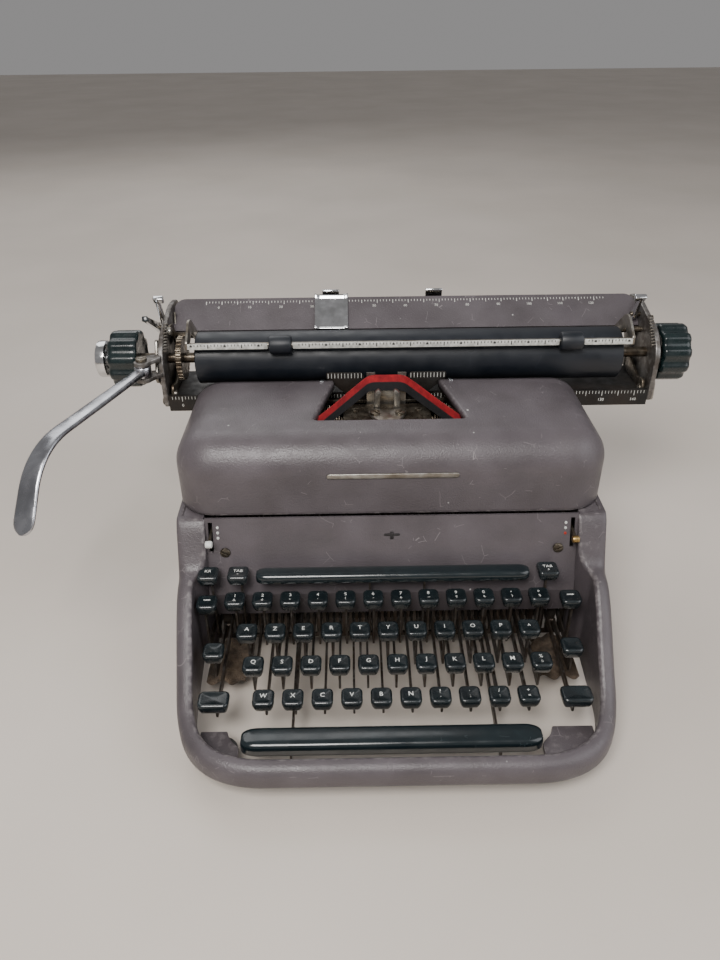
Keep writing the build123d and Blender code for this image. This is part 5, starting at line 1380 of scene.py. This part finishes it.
# ------------------------------------------------------------------ carriage
@dataclass
class Carriage:
    """End plates, knobs, paper table fittings, bail, stops and levers.

    Widths are measured from the carriage's own middle.
    """

    place: Place
    plate: float = 188.5
    wall: float = 4.0
    axis: tuple[float, float] = (271.0, 184.0)
    knob_radius: float = 22.3
    knob_width: float = 22.5
    left_knob: float = -209.4
    right_knob: float = 195.3
    bail: tuple[float, float] = (250.4, 202.1)
    rollers: tuple[float, float] = (-98.0, 122.0)
    table_low: tuple[float, float] = (294.0, 197.5)
    table_high: tuple[float, float] = (317.0, 216.0)
    bail_end: float = 168.5
    bail_pivot: tuple[float, float] = (288.5, 196.0)
    lever_pin: tuple[float, float] = (296.0, 200.0)
    release_pin: tuple[float, float] = (296.0, 206.0)
    scale_face: float = 249.4
    stops: tuple[tuple[str, float], ...] = (("margin_stop_left", -61.0), ("margin_stop_right", 24.0))
    guide_x: float = -60.4
    outline: tuple[tuple[float, float], ...] = (
        (249, 150.2), (308, 150.2), (328, 190), (328, 213), (306, 216), (262, 205), (249, 192))

    def table_axes(self) -> Array:
        """Unit rows across, up and off the paper table's face."""
        up = unit(np.array([0, *np.subtract(self.table_high, self.table_low)]))
        return np.array([[1, 0, 0], up, np.cross([1, 0, 0], up)])

    def end_plates(self) -> None:
        """Cast end plates with ribs, screws and the linkage that hangs on them."""
        for side, name in ((-1, "left_end_plate"), (1, "right_end_plate")):
            form = Form()
            low, high = sorted((side * self.plate, side * (self.plate + self.wall)))
            outer = side * (self.plate + self.wall)
            form.prism(rounded(self.outline, (6, 10, 12, 6, 10, 14, 8), 8), low, high, Along.X, 0.9, 3)
            face = side * (self.plate + self.wall - 0.2)
            reach = sorted((face, face + side * 1.9))
            form.turned([(reach[0], 9.5), (reach[0] + 0.5, 10.5), (reach[1] - 0.6, 10.5), (reach[1], 9.2)],
                        self.axis, Along.X, 32, 1)
            heads = ((256, 154, 3.2), (300, 154, 3.2), (318, 206, 2.8), (257, 170, 2.4), (283, 207, 2.4))
            for y, z, r in heads[:4 if side < 0 else 5]:
                form.screw((face, y, z), r, 2.0, Along.X, side, 0.8, 1, tilt=0.02 * y)
            rib = [(262, 160), (266, 160), (290, 166), (312, 190), (309, 193), (288, 170)]
            form.prism(rounded(rib, 2), *sorted((face, face + side * 1.6)), Along.X, 0.5, finish=0)
            form.coil((outer + side * 2.4, 262, 166), (outer + side * 2.4, 292, 172), 1.9, 14, 0.4, 2)
            if side < 0:
                hub_x, hub_y, hub_z = ReturnLever.hub
                hub_x -= CARRIAGE_RIGHT
                for ear_z in (hub_z - 8.2, hub_z + 4.6):
                    ear = [(hub_x - 6, hub_y - 1), (hub_x - 4, hub_y - 6), (hub_x + 4, hub_y - 6),
                           (hub_x + 7, hub_y), (low + 3, hub_y + 6), (low + 3, hub_y + 14),
                           (hub_x - 1, hub_y + 10)]
                    form.prism(rounded(ear, (3, 3, 3, 3, 1, 1, 4)), ear_z, ear_z + 3.6, Along.Z, 0.6)
                form.turned([(hub_z - 8.6, 2.2), (hub_z - 8, 2.5), (hub_z + 8.4, 2.5), (hub_z + 9, 2.0)],
                            (hub_x, hub_y), Along.Z, 24, 1)
                form.screw((hub_x, hub_y, hub_z + 8.3), 4.2, 2.2, Along.Z, 1, finish=1)
                form.turned([(-202.5, 1.8), (-202.3, 2), (-190, 2)], self.lever_pin, Along.X, 16, 1)
                plate = [(246, 176), (252, 170), (262, 176), (268, 198), (262, 204), (255, 190)]
                form.prism(rounded(plate, 4), -195.6, -193.4, Along.X, 0.5, finish=2)
            else:
                form.turned([(180.5, 1.8), (180.8, 2), (189, 2)], self.release_pin, Along.X, 16, 1)
                form.prism(rounded([(252, 150), (262, 148), (270, 160), (262, 170), (254, 166)], 4),
                           193.4, 195.0, Along.X, 0.4, finish=2)
            pivot = sorted((side * (self.bail_end - 1), side * (self.plate + 1)))
            form.turned([(pivot[0], 2.2), (pivot[0] + 0.4, 2.5), (pivot[1], 2.5)], self.bail_pivot, Along.X,
                        20, 1)
            form.dress(name + "_set", self.place, "carriage", [CAST, OILY, STEEL], name)

    def inner_works(self) -> bpy.types.Object:
        """Linkage between the end plates and the platen's ends.

        Feed-roll arms, springs and spacers at both ends, and at the left the
        detent arm over the ratchet with its roller and spring.
        """
        form = Form()
        for side in (-1, 1):
            x = side * 184.5
            arm = [(252, 158), (258, 152), (270, 158), (292, 158), (300, 166), (292, 172), (268, 164),
                   (256, 168)]
            form.prism(rounded(arm, 4), *sorted((x, x + side * 2.2)), Along.X, 0.5, finish=1)
            form.coil((side * 186.3, 252, 196), (side * 186.3, 268, 214), 1.7, 10, 0.38, 0)
            form.box(sorted((side * 184, side * 188.4)), (298, 307), (160, 200), finish=2)
            form.screw((side * 184.3, 256, 160), 2.8, 1.8, Along.X, -side, 0.8, 0)
        detent = [(285, 190), (289, 187), (292, 192), (284, 208), (272, 210), (268, 206), (271, 203.5),
                  (280, 204)]
        form.prism(rounded(detent, 2.5), -186.5, -184.6, Along.X, 0.5, finish=1)
        form.turned([(-186.8, 2.4), (-186.4, 3), (-183.6, 3), (-183.2, 2.4)], (269.5, 206.6), Along.X, 20, 0)
        spring = np.array([[-187.0, 290, 190], [-187.0, 299, 199], [-187.0, 303, 210]])
        form.wire(spring, 0.9, up=(1, 0, 0))
        return form.dress("feed_linkage", self.place, "carriage", [STEEL, OILY, CAST], slot=OILY)

    def knobs(self) -> None:
        """Scalloped knobs with eased rims, and the chrome clutch button.

        The radius falls by 1.8 * (1 - (d / w)^2) within w of each of the ten
        scallops, on the outer rings only.
        """
        def scallop(radius: Array, angle: Array) -> Array:
            """Radius with the ten scallops taken off."""
            pitch = 2 * math.pi / 10
            off = np.abs((angle + pitch / 2) % pitch - pitch / 2) * radius
            dip = 2.1 * np.clip(1 - (off / 4.4) ** 2, 0, 1)
            return radius - dip * np.clip((radius - 15) / 4, 0, 1)

        r, w = self.knob_radius, self.knob_width
        rows = (("knob_left", self.left_knob - w, -1), ("knob_right", self.right_knob, 1))
        for name, start, side in rows:
            turn = np.linspace(0, math.pi / 2, 7)
            edge = 4.2
            profile = [(0.0, 8.5), (0.0, 11.0), (1.4, 12.2), (1.4, 15.4), (0.0, 16.8)]
            profile += [(edge * (1 - math.sin(a)), r - edge * (1 - math.cos(a))) for a in turn[::-1]]
            profile += [(k, r) for k in np.linspace(edge + 1, w - 3.4, 6)]
            profile += [(w - 2.6 * (1 - math.sin(a)), r - 2.6 * (1 - math.cos(a))) for a in turn[1:]]
            profile += [(w, r - 5), (w - 0.8, r - 7), (w - 0.8, 8.5)]
            along = np.array(profile)
            along[:, 0] = start + (along[:, 0] if side < 0 else w - along[:, 0])
            wear_and_sheen = np.clip(1 - np.abs(along[:, 1] - (r - 1.5)) / 3, 0, 1) * 0.8
            form = Form().turned([tuple(p) for p in along], self.axis, Along.X, 120, wear_and_sheen=wear_and_sheen, shape=scallop)
            form.dress(name + "_set", self.place, "platen_roll", [KNOB], name, crease=50)
        face = self.left_knob - w
        rim = [(face + 1.9, 5.5), (face + 1.9, 7.5), (face - 3.4, 7.5), (face - 3.4, 13.2), (face - 4.4, 14.2),
               (face - 8.8, 14.5), (face - 10.8, 13.9), (face - 11.9, 12.0), (face - 11.6, 10.4),
               (face - 10.9, 9.4), (face - 10.9, 5.4), (face - 11.4, 4.4), (face - 11.8, 2.6)]
        form = Form().turned(rim, self.axis, Along.X, 64)
        form.dress("clutch_button", self.place, "platen_button", [CHROME], "knob_button", crease=40)

    def scales(self) -> None:
        """Marks and figures on the front scale bar and along the paper table's top."""
        form = Form()
        x = np.arange(-73, 74) * CHARACTER
        fifth = np.round(x / CHARACTER).astype(int) % 5 == 0
        marks = np.column_stack([x, np.full(len(x), self.scale_face + 0.02), np.full(len(x), 159.2)])
        form.plates(marks, (0.18, 0.07, 1.2), np.eye(3))
        form.plates(marks[fifth] - np.array([0, 0, 0.9]), (0.22, 0.08, 2.1), np.eye(3))
        upright = np.array([[1, 0, 0], [0, 0, 1], [0, -1, 0]], float)
        for number in range(-7, 8):
            spot = np.array([number * 10 * CHARACTER, self.scale_face, 153.0])
            Lettering.lay(form, str((number + 7) * 10), 3.4, spot, upright, 0)
        form.dress("front_scale", self.place, "carriage", [SCALE_INK])
        form = Form()
        axes = self.table_axes()
        foot = np.array([0, *self.table_low])
        height = math.dist(self.table_high, self.table_low)
        x = np.arange(-64, 65) * CHARACTER
        marks = foot + np.column_stack([x, 0 * x, 0 * x]) + axes[1] * (height - 3.6) + axes[2] * 0.06
        form.plates(marks, (0.24, 0.8, 0.06), axes)
        form.plates(marks[::5] - axes[1] * 0.8, (0.28, 1.5, 0.07), axes)
        for number in range(0, 13):
            spot = np.array([(number - 6) * 10 * CHARACTER, 0, 0]) + axes[1] * (height - 8.4)
            Lettering.lay(form, str(number * 10), 3.0, foot + spot + axes[2] * 0.06, axes, 0)
        form.dress("table_scale", self.place, "carriage", [SCALE_INK])

    def paper_bail(self) -> None:
        """Bail rod with its arms and marked strip, and the two rollers."""
        form = Form()
        y, z = self.bail
        end = self.bail_end
        form.turned([(-end, 1.6), (0.3 - end, 2), (end - 0.3, 2), (end, 1.6)], (y, z), Along.X, 24)
        for side in (-1, 1):
            start = side * end - 1
            arm = [(y - 3, z - 3), (y + 2, z - 4.5), (y + 17, z + 4.5), (285.5, 192.5), (289, 191.8),
                   (292.5, 196.5), (289, 200.4), (y + 21, z + 13.5), (y + 14, z + 15), (y - 3.4, z + 3.4)]
            form.prism(rounded(arm, (2, 2, 5, 2, 3, 3, 3, 4, 4, 2)), start, start + 2, Along.X, 0.5)
            form.screw((start + (2 if side > 0 else 0), *self.bail_pivot), 3.0, 1.4, Along.X, side, 0.8, 3)
        clear = 9.5
        left, right = self.rollers
        spans = ((0.5 - end, left - clear), (left + clear, right - clear), (right + clear, end - 0.5))
        for low, high in spans:
            strip = rounded([(low, z - 2.1), (high, z - 2.1), (high, z + 2.3), (low, z + 2.3)], 0.7)
            form.prism(strip, y - 3.2, y - 2.2, Along.Y, 0.25, 2, finish=1)
            count = np.arange(math.ceil(low / CHARACTER) + 1, math.floor(high / CHARACTER))
            marks = np.column_stack([count * CHARACTER, np.full(len(count), y - 3.22),
                                     np.full(len(count), z + 1.2)])
            form.plates(marks, (0.3, 0.05, 0.8), np.eye(3), 2)
            for rest, fall, half in ((0, 0.8, (0.4, 0.06, 1.5)), (5, 0.5, (0.9, 0.06, 0.7))):
                form.plates(marks[count % 10 == rest] - np.array([0, 0, fall]), half, np.eye(3), 2)
        form.dress("bail_set", self.place, "bail", [STEEL, SCALE_INK, BLACK_INK, OILY], "paper_bail")
        form = Form()
        for middle in self.rollers:
            profile = [(-8.5, 3.2), (-8.5, 5.6), (-8.0, 6.5), (-6.8, 7.0), (6.8, 7.0), (8.0, 6.5), (8.5, 5.6),
                       (8.5, 3.2)]
            form.turned([(middle + a, r) for a, r in profile], self.bail, Along.X, 36)
        form.dress("roller_pair", self.place, "bail_roll", [RUBBER], "bail_rollers")

    def table_fittings(self) -> None:
        """Chrome paper guide and the two margin stops."""
        axes = self.table_axes()
        foot = np.array([0.0, *self.table_low])
        form = Form()
        turn = np.linspace(0, 1, 24)
        height = 31.0
        up = -0.8 + (height + 0.6) * turn
        lift = 0.55 + 1.5 * np.exp(-((turn - 1.0) / 0.06) ** 2) + 1.1 * np.exp(-(turn / 0.05) ** 2)
        across = np.linspace(-13.5, 13.5, 13)
        flange = 1.6 * np.clip((np.abs(across) - 11.9) / 1.6, 0, 1) ** 2
        top = (foot + np.array([self.guide_x, 0, 0]) + across[None, :, None] * axes[0]
               + up[:, None, None] * axes[1] + (lift[:, None, None] + flange[None, :, None]) * axes[2])
        form.grid(top, outward=tuple(axes[2]))
        guide = form.piece("paper_guide_plate", self.place, [CHROME], 60)
        wall = guide.modifiers.new("wall", "SOLIDIFY")
        wall.thickness, wall.offset = 0.5 * MM, 1.0
        settle(guide, "paper_guide", CHROME, "paper_guide")
        for name, x in self.stops:
            form = Form()
            low, high = x - 7.5, x + 7.5
            saddle = [(317.1, 202), (319.1, 202), (319.1, 208.9), (324.9, 208.9), (324.9, 202), (326.9, 202),
                      (326.9, 210.9), (317.1, 210.9)]
            form.prism(rounded(saddle, (0.3, 0.3, 0.2, 0.2, 0.3, 0.3, 1.2, 1.2), 4), low, high, Along.X, 0.4,
                       finish=1)
            tab = [(322, 210.5), (324, 210.5), (323.8, 218), (322.6, 220.9), (320.2, 221.0), (319.8, 219.6),
                   (321.6, 217.6)]
            form.prism(rounded(tab, (0.2, 0.2, 2, 1, 0.8, 0.5, 1.5), 5), low + 0.6, high - 0.6, Along.X, 0.5)
            form.dress(name + "_set", self.place, name, [CHROME, OILY], name)

    def small_levers(self) -> None:
        """Platen release, line-space and paper release levers with finger tabs."""
        rows = (("platen_release_lever", -196.0, self.lever_pin, (284.0, 226.0), (-1.5, 6.5)),
                ("line_space_lever", -201.0, self.lever_pin, (262.0, 219.0), None),
                ("paper_release_lever", 182.0, self.release_pin, (286.0, 222.0), (-4.5, 5.0)))
        for name, start, foot, head, tab in rows:
            form = Form()
            a, b = np.array(foot), np.array(head)
            way = unit(b - a)
            square = np.array([-way[1], way[0]])
            outline = [a - way * 4.5 - square * 2, a + square * 4.4 - way, a + way * 6 + square * 3,
                       b - way * 2 + square * 2.2, b + way * 3 + square * 1.6, b + way * 3 - square * 1.6,
                       b - way * 2 - square * 2.2, a + way * 6 - square * 3, a - square * 4.4 - way,
                       a - way * 4.5 + square * 2]
            form.prism(rounded(outline, (2, 2, 4, 3, 1.5, 1.5, 3, 4, 2, 2)), start, start + 3, Along.X, 0.6)
            tip = [b + way * 3.6 + square * 2.4, b + way * 3.6 - square * 2.4, b - way * 2.2 - square * 1.2,
                   b - way * 2.2 + square * 1.2]
            if tab:
                form.prism(rounded(tip, 1.4), start + tab[0], start + tab[1], Along.X, 1.0, 3)
            else:
                form.prism(rounded(tip, 1.4), start - 0.8, start + 3.8, Along.X, 1.2, 3, 1)
            form.dress(name + "_set", self.place, name, [CHROME, KEY], name)

    def build(self) -> None:
        """Makes the carriage's pieces."""
        self.end_plates()
        self.inner_works()
        self.knobs()
        self.scales()
        self.paper_bail()
        self.table_fittings()
        self.small_levers()


@dataclass
class ReturnLever:
    """Carriage-return lever: hub, arm, elbow and flared paddle."""

    place: Place
    hub: Point = (-184.2, 242.0, 186.0)
    elbow: Point = (-228.0, 131.0, 182.0)
    tip: Point = (-235.0, 99.0, 138.0)

    def build(self) -> bpy.types.Object:
        """One flat bar of changing width carried along the bent path.

        The section is the superellipse |x/a|^3 + |z/b|^3 = 1; its half width a
        grows from the hub to the paddle and closes as a half circle at the
        tip, while its half thickness b thins towards the tip.
        """
        hub, elbow, tip = (np.array(p) for p in (self.hub, self.elbow, self.tip))
        way = unit(elbow - hub)
        side = np.cross(way, tip - elbow)
        line = resample(rounded([hub + way * 2.0, elbow, tip], (0, 30, 0), 30, False), 110)
        share = np.linspace(0, 1, len(line))
        length = float(np.linalg.norm(np.diff(line, axis=0), axis=1).sum())
        half = np.interp(share, (0, 0.08, 0.3, 0.62, 0.78, 0.92, 1), (4.6, 5.2, 6.2, 6.9, 7.8, 8.5, 8.5))
        left = length * (1 - share)
        half = half * np.sqrt(np.clip(1 - np.clip(1 - left / 9.0, 0, 1) ** 2, 0.03, 1))
        thick = np.interp(share, (0, 0.1, 0.6, 0.85, 1), (3.0, 2.6, 2.3, 1.9, 1.5))
        angle = np.linspace(0, 2 * math.pi, 28, endpoint=False)
        c, s = np.cos(angle), np.sin(angle)
        ring = np.stack([np.sign(c) * np.abs(c) ** (2 / 3), np.sign(s) * np.abs(s) ** (2 / 3)], 1)
        section = ring[None] * np.stack([half, thick], 1)[:, None]
        wear_and_sheen = np.broadcast_to(np.abs(c) ** 4, (len(line), len(angle)))
        form = Form().sweep(line, section, side=side, wear_and_sheen=wear_and_sheen.copy())
        x, y, z = self.hub
        hub_profile = [(-4.2, 2.6), (-4.2, 5.8), (-3.6, 6.4), (3.6, 6.4), (4.2, 5.8), (4.2, 2.6)]
        form.turned([(z + rise, radius) for rise, radius in hub_profile], (x, y), Along.Z, 40)
        return form.dress("return_lever_bar", self.place, "return_lever", [LEVER_METAL], "return_lever",
                          crease=50)


@dataclass
class Stage:
    """Floor, lights and camera."""

    camera_at: Point = (-25.0, -284.0, 418.0)
    ahead: Point = (0.0066386, 0.84523576, -0.53435235)
    right: Point = (0.99987038, -0.01344892, -0.0088514)
    down: Point = (-0.01466798, -0.53422433, -0.84521549)
    lens: float = 28.125
    sensor: float = 36.0
    lamps: tuple[tuple[str, Point, Point, float, float, Colour], ...] = (
        ("key_light", (-0.25, -0.75, 1.05), (0.0, 0.0, 0.1), 0.5, 17.0, (1.0, 0.97, 0.94)),
        ("fill_light", (1.3, -0.6, 1.0), (0.0, 0.0, 0.1), 1.4, 14.0, (0.96, 0.97, 1.0)),
        ("back_light", (-0.6, 1.5, 1.5), (0.0, 0.1, 0.15), 1.6, 16.0, (1.0, 1.0, 1.0)),
    )
    sky: Colour = (0.5, 0.49, 0.49)
    sky_strength: float = 0.55

    def floor(self) -> None:
        """Plain pale floor: a fine grid with a faint tonal variation in its material."""
        finish = Finish("pale_floor", "paint", (0.62, 0.56, 0.50), (0.57, 0.515, 0.455), (0.5, 0.6),
                        mottle=3.0, bump_scale=60.0)
        u, v = np.meshgrid(np.linspace(-4000, 4000, 9), np.linspace(-2000, 6000, 9), indexing="ij")
        form = Form().grid(np.stack([u, v, 0 * u], -1), outward=UP)
        form.piece("floor", Place(0.0, 0.0), [finish])

    def light(self, name: str, place: Point, target: Point, size: float, power: float,
              colour: Colour) -> None:
        """Square soft light that faces its target."""
        lamp = bpy.data.lights.new(name, "AREA")
        lamp.size, lamp.energy, lamp.color = size, power, colour
        made = bpy.data.objects.new(name, lamp)
        made.location = place
        made.rotation_euler = (Vector(target) - Vector(place)).to_track_quat("-Z", "Y").to_euler()
        bpy.context.scene.collection.objects.link(made)

    def camera(self, place: Place) -> None:
        """Camera at the height, distance and tilt of someone standing at the desk."""
        data = bpy.data.cameras.new("camera")
        data.sensor_fit, data.sensor_height, data.lens = "VERTICAL", self.sensor, self.lens
        data.clip_start, data.clip_end = 0.01, 50.0
        made = bpy.data.objects.new("camera", data)
        spot = place.metres(np.array(self.camera_at))
        columns = (self.right, tuple(-v for v in self.down), tuple(-v for v in self.ahead), tuple(spot))
        rows = [[column[k] for column in columns] for k in range(3)] + [[0, 0, 0, 1]]
        made.matrix_world = Matrix(rows)
        bpy.context.scene.collection.objects.link(made)
        bpy.context.scene.camera = made

    def build(self, place: Place) -> None:
        """Makes the stage."""
        self.floor()
        self.camera(place)
        for lamp in self.lamps:
            self.light(*lamp)
        world = bpy.data.worlds.new("studio")
        world.use_nodes = True
        sky = world.node_tree.nodes["Background"].inputs
        sky[0].default_value, sky[1].default_value = rgba(self.sky), self.sky_strength
        bpy.context.scene.world = world


CARRIED_OVER: dict[str, Finish] = {
    "front_plate": PAINT, "back_panel": PAINT, "paper_table": PAINT, "rubber_feet": FOOT, "main_frame": IRON,
    "key_comb": BLUED, "carriage_rail": OILY, "mainspring_drum": OILY, "carriage_frame": IRON,
    "platen": RUBBER, "platen_shaft": OILY, "type_segment": OILY, "typebars": BLUED, "spool_left": IRON,
    "spool_right": IRON, "ribbon_vibrator": STEEL,
}


def dress_nodes() -> None:
    """Gives each CAD node that stays in view its finish."""
    for name, finish in CARRIED_OVER.items():
        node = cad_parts[name]
        node.data.materials.clear()
        node.data.materials.append(finish.material())
        log.info("%s keeps its CAD shape in %s", name, finish.name)


def main() -> None:
    logging.basicConfig(level=logging.INFO, format="%(message)s")
    panel, casing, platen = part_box("back_panel"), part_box("lower_casing"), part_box("platen")
    machine = Place((panel[0].x + panel[1].x) / 2, casing[0].y)
    carriage = Place((platen[0].x + platen[1].x) / 2, casing[0].y)
    Stage().build(machine)
    dress_nodes()
    Casing(machine).build()
    TopCover(machine).build()
    Keyboard(machine).build()
    TypeArea(machine).build()
    Carriage(carriage).build()
    ReturnLever(machine).build()


if __name__ == "__main__":
    main()
